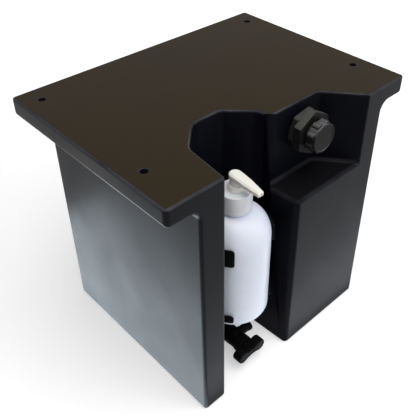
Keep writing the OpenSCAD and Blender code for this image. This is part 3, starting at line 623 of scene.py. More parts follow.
def boltHoles(under, top):
    low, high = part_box("tank_shell")
    r, rim, past = tank["boltRadius"], tank["boltRim"], tank["boltPast"]
    path = [(r + rim, under - past), (r + rim, under), (r, under + rim),
            (r, top - rim), (r + rim, top), (r + rim, top + past)]
    return [turned(path, Matrix.Translation((x, y, 0)), tank["boltSides"])
            for x in (low.x + tank["boltEdge"], high.x - tank["boltEdge"])
            for y in (low.y + tank["boltFront"], high.y - tank["boltBack"])]


def buildTank():
    low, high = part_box("tank_shell")
    heights = {"base": low.z, "ledge": high.z - tank["recessTall"],
               "plate": high.z - tank["plateThick"], "top": high.z}
    bm, keys = tankPanels(heights)
    widest = weighEdges(bm, keys)
    obj = addPiece("tankMoulding", bm, tankBlack, "tank", "tank_shell", tank["crease"])
    soft = obj.modifiers.new("edges", "BEVEL")
    soft.limit_method = "WEIGHT"
    soft.offset_type = "OFFSET"
    soft.width = widest
    soft.segments = tank["edgeSegments"]
    soft.use_clamp_overlap = False
    settle(obj)
    cutAway(obj, [joined(boltHoles(heights["plate"], heights["top"]))], tank["crease"])
    # the bay and recess walls get the darker copy of the black: painted shade
    obj.data.materials.append(innerBlack)
    for face in obj.data.polygons:
        face.material_index = 1 if inShadedRecess(face, low.y, heights["ledge"]) else 0
    flat = obj.modifiers.new("flatPanels", "WEIGHTED_NORMAL")
    flat.keep_sharp = True
    flat.weight = tank["flatWeight"]


buildTank()
print("tank moulding built")


# the soap bottle

bottle = {
    "sideTall": 0.127, "shoulderTall": 0.038, "shoulderInset": 0.0015, "shoulderSteps": 28,
    "neckRise": 0.006, "neckStep": 0.0004, "footRound": 0.010, "footSteps": 8, "wall": 0.0018,
    "pole": 0.001, "pushUp": 0.0028, "pushRadius": 0.028, "pushLand": 0.004, "pushDrop": 0.001,
    "heelWide": 0.003, "heelTall": 0.0006,
    "ringWide": 0.0022, "ringTall": 0.003, "ringLead": 0.001, "ringRise": 0.0004, "ringRoot": 0.0006,
    "ringEdge": 0.0007, "ringSteps": 3,
    "finishRadius": 0.0166, "finishWall": 0.003, "lipTall": 0.001, "lipEdge": 0.0006, "boreEdge": 0.0004,
    "thread": {"pitch": 0.004233, "deep": 0.0011, "band": (0.18, 0.36), "fade": 0.002},
    "threadGap": 0.002, "threadRows": 40, "seam": 0.00012, "seamBand": (0.02, 0.05),
    "sides": 144, "crease": 35,
}


def buildBottle():
    low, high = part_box("bottle")
    radius = radiusOf("bottle")
    thread = bottle["thread"]
    neckRadius = bottle["finishRadius"] + bottle["neckStep"]
    shoulderZ = low.z + bottle["sideTall"]
    ringZ = shoulderZ + bottle["shoulderTall"] + bottle["neckRise"]
    ringLow = ringZ - bottle["ringTall"]
    ringOut = bottle["finishRadius"] + bottle["ringWide"]
    root = bottle["finishRadius"] - thread["deep"]
    bore = bottle["finishRadius"] - bottle["finishWall"]
    threadStart, threadStop = ringZ + bottle["threadGap"], high.z - bottle["threadGap"]

    def shoulder(inset, end):
        middle = neckRadius - bottle["shoulderInset"]
        wide = radius - middle
        last = math.acos((end + inset - middle) / wide)
        steps = bottle["shoulderSteps"]
        return [(middle + wide * math.cos(last * k / steps) - inset,
                 shoulderZ + (bottle["shoulderTall"] - inset) * math.sin(last * k / steps))
                for k in range(steps + 1)]

    def foot(inset):
        r = bottle["footRound"]
        return [(radius - r + (r - inset) * sine, low.z + r - (r - inset) * cosine)
                for sine, cosine in quarterArc(bottle["footSteps"])]

    base, push = low.z + bottle["pushUp"], bottle["pushRadius"]
    path = [(bottle["pole"], base), (push - bottle["pushLand"], base), (push, base - bottle["pushDrop"]),
            (push + bottle["heelWide"], low.z + bottle["heelTall"])]
    path += foot(0) + shoulder(0, neckRadius)
    path += softened([
        (neckRadius, ringLow - bottle["ringLead"], 0), (neckRadius, ringLow, bottle["ringRoot"]),
        (ringOut, ringLow + bottle["ringRise"], bottle["ringEdge"]), (ringOut, ringZ, bottle["ringEdge"]),
        (root, ringZ, 0)], bottle["ringSteps"])
    rows = bottle["threadRows"]
    lip = high.z - bottle["lipTall"]
    path += [(root, ringZ + (lip - ringZ) * k / rows) for k in range(1, rows + 1)]
    path += [(root - bottle["lipEdge"], high.z), (bore + bottle["boreEdge"], high.z),
             (bore, high.z - bottle["lipEdge"])]
    path += shoulder(bottle["wall"], bore)[::-1] + foot(bottle["wall"])[::-1]
    path += [(bottle["pole"], base + bottle["wall"])]

    def blown(turn, r, h):
        # the neck's thread, and a mould seam down both sides
        if abs(r - root) < sameRadius:
            return r + threadRise(turn, h, threadStart, threadStop, thread)
        if radius - bottle["wall"] / 2 < r and low.z < h < shoulderZ:
            nearSeam = min(abs(turn - math.pi), turn, fullTurn - turn)
            return r - bottle["seam"] * smoothStep(*bottle["seamBand"], nearSeam)
        return r

    shape = turned(path, uprightAxis("bottle"), bottle["sides"], blown)
    addPiece("soapBottle", shape, bottleWhite, "bottle", "bottle", bottle["crease"])


buildBottle()
print("bottle built")


# the soap pump above the bottle's neck

collar = {
    "edge": 0.0011, "lowerEdge": 0.0005, "fineEdge": 0.0004, "edgeSteps": 4, "beadTall": 0.0030,
    "groove": 0.0005, "grooveHalf": 0.0004, "grooveEdge": 0.0002, "skirt": 0.0029, "roof": 0.0025,
    "throat": 0.00975, "ribs": 60, "ribDeep": 0.00012, "ribStart": 0.001, "ribStop": 0.0025,
    "sides": 240, "crease": 35,
}
hub = {
    "edge": 0.0008, "fineEdge": 0.0004, "seatEdge": 0.0002, "edgeSteps": 4, "bore": 0.0041, "barrel": 0.0073,
    "tall": 0.007, "topInset": 0.0012, "rimTall": 0.0006, "lugs": 6, "lugDeep": 0.0005,
    "lugBand": (0.40, 0.44), "lugReach": 0.002, "lugTop": 0.001, "sides": 144, "crease": 35,
}
head = {
    "endRadius": 0.0082, "billRadius": 0.0074, "tipHalf": 0.0048, "tipCorner": 0.0022, "billShare": 0.44,
    "endTall": 0.008, "tipTall": 0.0056, "drop": 0.006, "dropCurve": 1.25,
    "topEdge": 0.0018, "lowEdge": 0.0010, "crown": 0.0006, "crownRings": 3, "crownGap": 0.0001,
    "bossRadius": 0.0075, "bossBore": 0.0042, "bossEdge": 0.0005, "bossOverlap": 0.001, "bossSides": 64,
    "boreRadius": 0.0016, "boreDeep": 0.012, "borePast": 0.004, "boreSides": 32,
    "arcSteps": 18, "billSteps": 4, "sideSteps": 8, "edgeSteps": 5, "crease": 40,
}


def buildCollar():
    low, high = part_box("pump_collar")
    r = radiusOf("pump_collar")
    bore, throat = r - collar["skirt"], collar["throat"]
    roof = high.z - collar["roof"]
    bead = low.z + collar["beadTall"]
    grooveEdge = collar["grooveEdge"]
    path = softened([
        (throat, roof, 0), (throat, high.z, collar["fineEdge"]), (r, high.z, collar["edge"]),
        (r, bead + 2 * collar["grooveHalf"], grooveEdge),
        (r - collar["groove"], bead + collar["grooveHalf"], grooveEdge), (r, bead, grooveEdge),
        (r, low.z, collar["lowerEdge"]), (bore, low.z, collar["lowerEdge"]),
        (bore, roof, collar["fineEdge"]), (throat, roof, 0)], collar["edgeSteps"])[:-1]
    ribLow, ribHigh = bead + collar["ribStart"], high.z - collar["ribStop"]

    def ribbed(turn, reach, h):
        if reach > r - sameRadius and ribLow < h < ribHigh:
            return reach - collar["ribDeep"] * (0.5 + 0.5 * math.cos(turn * collar["ribs"]))
        return reach

    shape = turned(path, uprightAxis("pump_collar"), collar["sides"], ribbed, True)
    addPiece("pumpCollar", shape, collarShadedWhite, "pump_collar", "pump_collar", collar["crease"])


def buildHub():
    low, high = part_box("pump_chaplet")
    r = radiusOf("pump_chaplet")
    bore, barrel = hub["bore"], hub["barrel"]
    seat = high.z - hub["tall"]
    path = softened([
        (bore, low.z, 0), (bore, high.z, hub["fineEdge"]), (r - hub["topInset"], high.z, hub["edge"]),
        (r, seat + hub["rimTall"], hub["fineEdge"]), (r, seat, hub["seatEdge"]),
        (barrel, seat, hub["seatEdge"]), (barrel, low.z, hub["fineEdge"]), (bore, low.z, 0)],
        hub["edgeSteps"])[:-1]

    def lugged(turn, reach, h):
        if reach > barrel + hub["lugReach"] and h < high.z - hub["lugTop"]:
            wave = abs((turn * hub["lugs"] / fullTurn) % 1 - 0.5)
            return reach - hub["lugDeep"] * smoothStep(*hub["lugBand"], wave)
        return reach

    shape = turned(path, uprightAxis("pump_chaplet"), hub["sides"], lugged, True)
    addPiece("pumpHub", shape, pumpWhite, "pump_core", "pump_chaplet", hub["crease"])


def billOutline(inset, length):
    # the head seen from above: a round end, a broad bill and a square-cut tip towards the front
    tip = head["tipCorner"]
    stops = [(0, 0, head["endRadius"]), (head["billShare"] * length, 0, head["billRadius"]),
             (length - tip, head["tipHalf"] - tip, tip)]
    leans = [math.asin((x + r - nextX - nextR) / (nextY - y))
             for (y, x, r), (nextY, nextX, nextR) in zip(stops, stops[1:])]
    half = []
    for (y, x, r), start, end in zip(stops, [-quarter] + leans, leans + [quarter]):
        steps = head["arcSteps"] if y == 0 or x > 0 else head["billSteps"]
        for k in range(steps + 1):
            turn = start + (end - start) * k / steps
            half.append(Vector((x + (r - inset) * math.cos(turn), -y - (r - inset) * math.sin(turn))))
    half.append(Vector((0, half[-1].y)))
    outline = []
    for here, following in zip(half, half[1:]):
        pieces = head["sideSteps"] if (following - here).length > tip else 1
        outline += [here.lerp(following, k / pieces) for k in range(pieces)]
    outline.append(half[-1])
    return outline + [Vector((-p.x, p.y)) for p in outline[-2:0:-1]]


def buildHead():
    low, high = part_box("pump_head")
    x, y = (low.x + high.x) / 2, high.y - head["endRadius"]
    axis = Matrix.Translation((x, y, 0))
    length = y - low.y

    def topAt(ahead):
        return high.z - head["drop"] * (max(0, ahead) / length) ** head["dropCurve"]

    def lowAt(ahead):
        start = high.z - head["endTall"]
        end = high.z - head["drop"] - head["tipTall"]
        t = max(0, ahead - head["bossRadius"]) / (length - head["bossRadius"])
        return start + (end - start) * t

    def ring(inset, heightAt, rise):
        return [axis @ Vector((p.x, p.y, heightAt(-p.y) + rise)) for p in billOutline(inset, length)]

    lowEdge, topEdge, crown = head["lowEdge"], head["topEdge"], head["crown"]
    arc = quarterArc(head["edgeSteps"])
    rings = [ring(lowEdge * (1 - sine), lowAt, lowEdge * (1 - cosine)) for sine, cosine in arc]
    rings += [ring(topEdge * (1 - cosine), topAt, -crown - topEdge * (1 - sine)) for sine, cosine in arc]
    room = head["tipCorner"] - topEdge - head["crownGap"]
    for k in range(1, head["crownRings"] + 1):
        share = k / head["crownRings"]
        rings.append(ring(topEdge + room * share, topAt, -crown * (1 - share)))
    bossTop = high.z - head["endTall"] + head["bossOverlap"]
    boss = turned(softened([
        (head["bossBore"], low.z, 0), (head["bossRadius"], low.z, head["bossEdge"]),
        (head["bossRadius"], bossTop, 0), (head["bossBore"], bossTop, 0)]),
        uprightAxis("pump_collar"), head["bossSides"])
    obj = addPiece("pumpHead", joined([skinned(rings), boss]), pumpWhite, "pump_head",
                   "pump_head", head["crease"])
    tip = -low.y
    borePath = [(head["boreRadius"], tip - head["boreDeep"]), (head["boreRadius"], tip + head["borePast"])]
    boreAxis = forwardAxis(x, high.z - head["drop"] - head["tipTall"] / 2)
    cutAway(obj, [turned(borePath, boreAxis, head["boreSides"])], head["crease"], True)


buildCollar()
buildHub()
buildHead()
print("pump built")


# the filler: hex neck with its thread, and the lobed cap

hexCut = {"steps": 6, "reach": 1.6, "rise": 0.55, "sides": 144}  # reach and rise in chamfers
neck = {
    "wallHex": 0.049, "wallHexLong": 0.008, "wallHexTurn": 41, "wallHexOverlap": 0.0005,
    "wallBoreStep": 0.0002, "hexFlats": 0.053, "hexLong": 0.011, "hexBoreStep": 0.001, "chamfer": 0.0008,
    "thread": {"pitch": 0.002309, "deep": 0.0011, "band": (0.08, 0.42), "fade": 0.0015}, "crest": 0.0166,
    "rowsPerTurn": 9, "bore": 0.013, "neckLong": 0.012, "endEdge": 0.0004, "overlap": 0.001,
    "sides": 96, "crease": 40,
}
cap = {
    "lobes": 8, "reach": 0.022, "lobeRadius": 0.0054, "lobeFront": 0.0028, "lobeEdge": 0.0011, "lobeSteps": 6,
    "faceRadius": 0.0197, "rimEdge": 0.0009, "rimSteps": 5, "faceDish": 0.0006, "dishRadius": 0.0172,
    "dishLand": 0.0012, "dishSlope": 0.0006, "dishEdge": 0.0004, "bore": 0.01685, "boreStep": 0.0005,
    "boreRise": 0.0006, "roof": 0.005, "skirtEdge": 0.0006, "pole": 0.0008, "sides": 320, "crease": 40,
}


def hexReach(turn, flats):
    side = math.pi / 3
    return flats / 2 / math.cos((turn + side / 2) % side - side / 2)


def chamferedHex(flats, back, front, chamfer, inner, axis, lean=0):
    # a hex with its corners turned off at both faces
    corner = flats / math.sqrt(3)
    rows = []
    for k in range(hexCut["steps"] + 1):
        t = k / hexCut["steps"]
        rows.append((corner - chamfer * hexCut["reach"] * (1 - t), back + chamfer * hexCut["rise"] * t))
    rows += [(limit, front + back - h) for limit, h in rows[::-1]]
    path = [(inner, back)] + rows + [(inner, front)]

    def hexed(turn, r, h):
        return r if r == inner else min(r, hexReach(turn - math.radians(lean), flats))

    return turned(path, axis, hexCut["sides"], hexed)


def buildNeck():
    axis = forwardAxisOf("filler_connector")
    tail, end = backAndFront("filler_connector")
    thread, chamfer = neck["thread"], neck["chamfer"]
    neckStart = end - neck["neckLong"]
    hexStart = neckStart - neck["hexLong"]
    wallStart = hexStart - neck["wallHexLong"]
    root = neck["crest"] - thread["deep"]
    hexBore = root - neck["hexBoreStep"]

    def tube(start, stop):
        rows = round((stop - start) / thread["pitch"] * neck["rowsPerTurn"])
        path = [(root, start + (stop - start) * k / rows) for k in range(rows + 1)]
        past = stop + neck["endEdge"]
        path += [(root - neck["endEdge"], past), (neck["bore"], past), (neck["bore"], start)]

        def threaded(turn, r, h):
            return r + threadRise(turn, h, start, stop, thread) if abs(r - root) < sameRadius else r

        return turned(path, axis, neck["sides"], threaded, True)

    spanner = chamferedHex(neck["hexFlats"], hexStart, neckStart, chamfer, hexBore, axis)
    flange = chamferedHex(neck["wallHex"], wallStart, hexStart + neck["wallHexOverlap"], chamfer,
                          hexBore - neck["wallBoreStep"], axis, neck["wallHexTurn"])
    front = tube(neckStart - neck["overlap"], end - neck["endEdge"])
    back = tube(tail, wallStart + neck["overlap"])
    addPiece("fillerNeck", joined([spanner, flange, front, back]), neckBlack, "tank",
             "filler_connector", neck["crease"])


def buildCap():
    skirt, face = backAndFront("filler_cap")
    r, faceR, dishR, bore = cap["reach"], cap["faceRadius"], cap["dishRadius"], cap["bore"]
    roof = face - cap["roof"]
    lobeFront = face - cap["lobeFront"]
    dished = face - cap["faceDish"]
    path = [(cap["pole"], dished), (dishR - cap["dishLand"], dished)]
    path += softened([
        (dishR - cap["dishSlope"], dished, 0), (dishR, face, cap["dishEdge"]),
        (faceR, face, cap["rimEdge"]), (faceR, lobeFront, 0)], cap["rimSteps"])
    path += softened([
        (faceR, lobeFront, 0), (r, lobeFront, cap["lobeEdge"]), (r, skirt, cap["skirtEdge"]),
        (bore + cap["boreStep"], skirt, 0)], cap["lobeSteps"])[1:]
    path += [(bore, skirt + cap["boreRise"]), (bore, roof), (cap["pole"], roof)]
    pitch = fullTurn / cap["lobes"]
    middle = r - cap["lobeRadius"]

    def lobed(turn, reach, h):
        if reach <= faceR:
            return reach
        off = ((turn / pitch) % 1 - 0.5) * pitch
        room = cap["lobeRadius"] ** 2 - (middle * math.sin(off)) ** 2
        edge = middle * math.cos(off) + math.sqrt(max(0, room))
        return faceR + (reach - faceR) * max(0, edge - faceR) / (r - faceR)

    shape = turned(path, forwardAxisOf("filler_cap"), cap["sides"], lobed)
    addPiece("fillerCap", shape, capBlack, "filler_cap", "filler_cap", cap["crease"])


buildNeck()
buildCap()
print("filler built")


# the tap: barrel with root hex and side spout, gland nut, two-lobed key

tap = {
    "hexFlats": 0.028, "hexLong": 0.006, "hexBoreStep": 0.002, "hexOverlap": 0.003, "chamfer": 0.0015,
    "barrelRadius": 0.0124, "reach": 0.071, "gasket": 0.002, "tailRadius": 0.0104, "tailBoreStep": 0.003,
    "tailEdge": 0.0006, "bandStep": 0.0005, "bandEdge": 0.0004, "bandSlope": 0.001, "bandBack": 0.010,
    "bandFront": 0.011, "edge": 0.0008, "glandLong": 0.006, "glandThread": 0.012, "glandRoot": 0.0002,
    "glandEdge": 0.0006, "mouthRadius": 0.0095, "sides": 96, "crease": 40,
}
spout = {
    "radius": 0.0075, "bore": 0.005, "long": 0.0325, "fall": 4, "ahead": 0.0515, "pole": 0.0015,
    "start": 0.004, "collarTall": 0.002, "collarSlope": 0.0015, "collarEdge": 0.0010, "lipWide": 0.0008,
    "lipLong": 0.005, "lipSlope": 0.001, "lipRoot": 0.0008, "lipStart": 0.0006, "lipEdge": 0.0008,
    "boreEdge": 0.0005, "boreDeep": 0.020, "boreRoot": 0.0004, "sides": 64,
}
gland = {
    "flutes": 12, "fluteDeep": 0.0007, "fluteBand": (0.62, 0.98), "fluteFrom": 0.0025, "edge": 0.0007,
    "edgeSteps": 4, "bore": 0.0066, "boreEdge": 0.0004, "land": 0.003, "slim": 0.0015,
    "sides": 192, "crease": 40,
}
key = {
    "wide": 0.050, "lobeRadius": 0.0092, "waist": 0.0056, "thick": 0.0145, "edge": 0.0020, "edgeSteps": 5,
    "tilt": 1, "hubRadius": 0.0095, "hubBore": 0.0068, "hubEdge": 0.0006, "hubOverlap": 0.002, "hubSides": 64,
    "dish": 0.0008, "dishRadius": 0.0045, "dishEdge": 0.0006, "dishFlare": 0.0008, "dishRise": 0.0002,
    "dishPast": 0.003, "dishPole": 0.0005, "dishSides": 48, "arcSteps": 14, "crease": 40,
}


def spoutShape(x, y, z, barrelRadius):
    fall = math.radians(spout["fall"])
    along = Vector((math.cos(fall), 0, -math.sin(fall)))
    side = Vector((0, 1, 0))
    axis = Matrix.Translation((x, y, z)) @ Matrix((side, along.cross(side), along)).transposed().to_4x4()
    lip, bore, end = spout["radius"], spout["bore"], spout["long"]
    thin = lip - spout["lipWide"]
    collarEnd = barrelRadius + spout["collarTall"]
    lipStart = end - spout["lipLong"]
    boreEnd = end - spout["boreDeep"]
    return turned(softened([
        (spout["pole"], spout["start"], 0), (lip, spout["start"], 0), (lip, collarEnd, spout["collarEdge"]),
        (thin, collarEnd + spout["collarSlope"], spout["collarEdge"]),
        (thin, lipStart - spout["lipSlope"], spout["lipRoot"]), (lip, lipStart, spout["lipStart"]),
        (lip, end, spout["lipEdge"]), (bore, end, spout["boreEdge"]), (bore, boreEnd, spout["boreRoot"]),
        (spout["pole"], boreEnd, 0)]), axis, spout["sides"])


def buildTapBody():
    x, z = middleOf("tap_plug").x, middleOf("tap_gland_nut").z
    axis = forwardAxis(x, z)
    back, front = backAndFront("tap_body")
    wallAt = front - tap["reach"]
    hexBack = wallAt + tap["gasket"]
    hexFront = hexBack + tap["hexLong"]
    barrelBack = hexFront - tap["hexOverlap"]
    barrelFront = front - tap["glandLong"]
    bandBack, bandFront = hexFront + tap["bandBack"], barrelFront - tap["bandFront"]
    r, tail, thread = tap["barrelRadius"], tap["tailRadius"], tap["glandThread"]
    band = r + tap["bandStep"]
    rootHex = chamferedHex(tap["hexFlats"], hexBack, hexFront, tap["chamfer"],
                           tail - tap["hexBoreStep"], axis)
    barrel = turned(softened([
        (tail - tap["tailBoreStep"], back, 0), (tail, back, tap["tailEdge"]), (tail, barrelBack, 0),
        (r, barrelBack, 0), (r, bandBack, 0), (band, bandBack + tap["bandSlope"], tap["bandEdge"]),
        (band, bandFront - tap["bandSlope"], tap["bandEdge"]), (r, bandFront, 0),
        (r, barrelFront, tap["edge"]), (thread, barrelFront, tap["glandRoot"]),
        (thread, front, tap["glandEdge"]), (tap["mouthRadius"], front, 0)]), axis, tap["sides"])
    sideSpout = spoutShape(x, -(wallAt + spout["ahead"]), z, r)
    addPiece("tapBody", joined([rootHex, barrel, sideSpout]), fittingBlack, "tank",
             "tap_body", tap["crease"])


def buildGland():
    back, front = backAndFront("tap_gland_nut")
    r, bore = radiusOf("tap_gland_nut") - gland["slim"], gland["bore"]
    path = softened([
        (bore, back, 0), (bore, front, gland["boreEdge"]), (r - gland["land"], front, 0),
        (r, front, gland["edge"]), (r, back, gland["edge"]), (bore, back, 0)], gland["edgeSteps"])[:-1]

    def fluted(turn, reach, h):
        if reach < r - gland["fluteFrom"]:
            return reach
        wave = abs((turn * gland["flutes"] / fullTurn) % 1 - 0.5) * 2
        return reach - gland["fluteDeep"] * smoothStep(*gland["fluteBand"], wave)

    shape = turned(path, forwardAxisOf("tap_gland_nut"), gland["sides"], fluted, True)
    addPiece("tapGlandNut", shape, fittingBlack, "tank", "tap_gland_nut", gland["crease"])


def keyOutline(inset):
    # two round lobes with a waist drawn in by arcs that touch both
    r = key["lobeRadius"] - inset
    a = key["wide"] / 2 - key["lobeRadius"]
    h = key["waist"] - inset
    q = (a * a + h * h - r * r) / (2 * (r - h))
    touch = math.atan2(h + q, a)
    steps = key["arcSteps"]
    outline = []
    for sign in (1, -1):
        for k in range(steps + 1):
            turn = -(math.pi - touch) + 2 * (math.pi - touch) * k / steps
            outline.append(Vector((sign * (a + r * math.cos(turn)), sign * r * math.sin(turn))))
        for k in range(1, steps):
            turn = -touch - (math.pi - 2 * touch) * k / steps
            outline.append(Vector((sign * q * math.cos(turn), sign * (h + q + q * math.sin(turn)))))
    return outline


def buildKey():
    back, front = backAndFront("tap_handle")
    axis = forwardAxisOf("tap_gland_nut") @ Matrix.Rotation(math.radians(key["tilt"]), 4, "Z")
    plateBack = front - key["thick"]
    hubFront = plateBack + key["hubOverlap"]
    dishFloor, dishTop = front - key["dish"], front + key["dishPast"]
    dishRim = key["dishRadius"] + key["dishFlare"]

    def ring(inset, h):
        return [axis @ Vector((p.x, p.y, h)) for p in keyOutline(inset)]

    edge = key["edge"]
    arc = quarterArc(key["edgeSteps"])
    rings = [ring(edge * (1 - sine), plateBack + edge * (1 - cosine)) for sine, cosine in arc]
    rings += [ring(edge * (1 - cosine), front - edge * (1 - sine)) for sine, cosine in arc]
    keyHub = turned(softened([
        (key["hubBore"], back, 0), (key["hubRadius"], back, key["hubEdge"]), (key["hubRadius"], hubFront, 0),
        (key["hubBore"], hubFront, 0)]), axis, key["hubSides"])
    obj = addPiece("tapKey", joined([skinned(rings), keyHub]), fittingBlack, "tap_key",
                   "tap_handle", key["crease"])
    dish = turned(softened([
        (key["dishPole"], dishFloor, 0), (key["dishRadius"], dishFloor, key["dishEdge"]),
        (dishRim, front + key["dishRise"], 0), (dishRim, dishTop, 0), (key["dishPole"], dishTop, 0)]),
        axis, key["dishSides"])
    cutAway(obj, [dish], key["crease"], True)


buildTapBody()
buildGland()
buildKey()
print("tap built")


# the two bottle clips and their screws

clip = {
    "grip": 0.0004, "thick": 0.0026, "open": 90, "edge": 0.0007, "padWide": 0.030, "padGap": 0.0008,
    "flare": 0.0008, "flareTurn": 7, "steps": 72, "endRound": 0.0045, "endSteps": 9, "lowerBandTall": 0.012,
    "footWide": 0.024, "footReach": 0.023, "footThick": 0.003, "pocket": 0.0046, "pocketLong": 0.03,
    "pocketSides": 40, "screwSeat": 0.0032, "screwSpread": 0.020, "crease": 40,
}
screw = {
    "headRadius": 0.004, "headTall": 0.002, "headSide": 0.0012, "headEdge": 0.0006, "seatEdge": 0.0002,
    "crownRadius": 0.0022, "crownRound": 0.002, "shankRadius": 0.002, "pointLong": 0.001, "pointStep": 0.0006,
    "pole": 0.0004, "slotWide": 0.0009, "slotLong": 0.0042, "slotDeep": 0.0011, "slotPast": 0.001,
    "slotEdge": 0.0001, "sides": 40, "crease": 40,
}


def bandShape(lowZ, highZ):
    # the springy band round the bottle, open to the front, its ends flared and rounded
    middle = middleOf("bottle")
    half = math.radians(clip["open"] / 2)
    r = radiusOf("bottle") + clip["grip"] + clip["thick"] / 2
    up = Vector((0, 0, 1))
    flareSpan = math.radians(clip["flareTurn"])
    sweep = 2 * (math.pi - half)
    tall = highZ - lowZ
    endRound = min(clip["endRound"], tall / 2 - clip["edge"] * 2)
    ends = [endRound / r * (k / clip["endSteps"]) ** 2 for k in range(clip["endSteps"])]
    inner = [sweep * k / clip["steps"] for k in range(2, clip["steps"] - 1)]
    rings = []
    for along in ends + inner + [sweep - end for end in ends[::-1]]:
        turn = -quarter + half + along
        fromEnd = min(along, sweep - along)
        out = r + clip["flare"] * (1 - smoothStep(0, flareSpan, fromEnd))
        short = max(0, endRound - fromEnd * r)
        drop = endRound - math.sqrt(endRound ** 2 - short ** 2)
        outward = Vector((math.cos(turn), math.sin(turn), 0))
        place = Vector((middle.x, middle.y, (lowZ + highZ) / 2)) + outward * out
        rings.append(ribbonRing(place, outward, up, clip["thick"], tall - 2 * drop, clip["edge"]))
    return skinned(rings)


def screwX(side):
    low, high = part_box("bottle")
    return (low.x + high.x) / 2 + side * clip["screwSpread"] / 2


def buildClip(name, node, bandTall, footed):
    nodeLow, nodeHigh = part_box(node)
    middle, radius = middleOf("bottle"), radiusOf("bottle")
    wallY, highZ = nodeHigh.y, nodeHigh.z
    lowZ = highZ - bandTall
    z = (lowZ + highZ) / 2

    def block(wide, front, low, high):
        blockLow = Vector((middle.x - wide / 2, front, low))
        blockHigh = Vector((middle.x + wide / 2, wallY, high))
        return softBlock(blockLow, blockHigh, clip["edge"])

    pad = clip["padWide"]
    padFront = middle.y + math.sqrt(radius ** 2 - (pad / 2) ** 2) + clip["grip"] + clip["padGap"]
    shapes = [bandShape(lowZ, highZ), block(pad, padFront, lowZ, highZ)]
    if footed:
        wide, thick, base = clip["footWide"], clip["footThick"], nodeLow.z
        shapes.append(block(wide, wallY - clip["footReach"], base, base + thick))
        shapes.append(block(wide, wallY - thick, base, z))
    obj = addPiece(name, joined(shapes), fittingBlack, "tank", node, clip["crease"])
    seat = clip["screwSeat"] - wallY
    path = [(clip["pocket"], seat), (clip["pocket"], seat + clip["pocketLong"])]
    pockets = [turned(path, forwardAxis(screwX(side), z), clip["pocketSides"]) for side in (-1, 1)]
    cutAway(obj, pockets, clip["crease"], True)


def buildScrews():
    low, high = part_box("clip_screws")
    back, front = backAndFront("clip_screws")
    seat = front - screw["headTall"]
    headR, shankR, pole = screw["headRadius"], screw["shankRadius"], screw["pole"]
    places = [(screwX(side), z) for side in (-1, 1) for z in (low.z + headR, high.z - headR)]
    path = softened([
        (pole, back, 0), (shankR - screw["pointStep"], back, 0), (shankR, back + screw["pointLong"], 0),
        (shankR, seat, 0), (headR, seat, screw["seatEdge"]),
        (headR, seat + screw["headSide"], screw["headEdge"]),
        (screw["crownRadius"], front, screw["crownRound"]), (pole, front, 0)])
    shapes = [turned(path, forwardAxis(x, z), screw["sides"]) for x, z in places]
    obj = addPiece("clipScrews", joined(shapes), steelTurned, "tank", "clip_screws",
                   screw["crease"])
    narrow, long = screw["slotWide"], screw["slotLong"]
    slots = []
    for x, z in places:
        for wide, tall in ((narrow, long), (long, narrow)):
            slotLow = Vector((x - wide / 2, -front - screw["slotPast"], z - tall / 2))
            slotHigh = Vector((x + wide / 2, -front + screw["slotDeep"], z + tall / 2))
            slots.append(softBlock(slotLow, slotHigh, screw["slotEdge"], 1))
    cutAway(obj, slots, screw["crease"])


upperLow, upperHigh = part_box("upper_clip")
buildClip("upperClip", "upper_clip", upperHigh.z - upperLow.z, False)
buildClip("lowerClip", "lower_clip", clip["lowerBandTall"], True)
buildScrews()
print("clips built")


# the pump's return spring, a round wire coil inside the barrel

spring = {"wire": 0.00045, "turns": 5, "rowsPerTurn": 40, "sides": 12, "crease": 60}


def buildSpring():
    low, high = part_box("pump_spring")
    axis = uprightAxis("bottle")
    wire = spring["wire"]
    coil = radiusOf("pump_spring") - wire
    rows = spring["turns"] * spring["rowsPerTurn"]
    rise = high.z - low.z - 2 * wire
    rings = []
    for k in range(rows + 1):
        turn = fullTurn * k / spring["rowsPerTurn"]
        out = Vector((math.cos(turn), math.sin(turn), 0))
        middle = out * coil + Vector((0, 0, low.z + wire + rise * k / rows))
        ring = []
        for i in range(spring["sides"]):
            a = fullTurn * i / spring["sides"]
            ring.append(axis @ (middle + wire * (out * math.cos(a) + Vector((0, 0, math.sin(a))))))
        rings.append(ring)
    addPiece("pumpSpring", skinned(rings), steelTurned, "pump_core", "pump_spring",
             spring["crease"])


buildSpring()
print("spring built")


# pieces kept as they come from the frame

keptPieces = [
    (brassTurned, ["filler_insert", "tap_insert", "clip_inserts"]),
    (sealBlack, ["filler_gasket", "tap_gasket", "filler_cap_seal", "tap_o_rings", "pump_gasket"]),
    (naturalClear, ["tap_plug", "pump_housing", "dip_tube", "pump_piston"]),
    (pumpWhite, ["pump_stem"]),
    (steelTurned, ["pump_ball"]),
]
for finish, nodes in keptPieces:
    for node in nodes:
        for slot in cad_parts[node].material_slots:
            slot.material = finish
print("kept pieces finished:", sum(len(nodes) for finish, nodes in keptPieces))


# stage, lights and camera

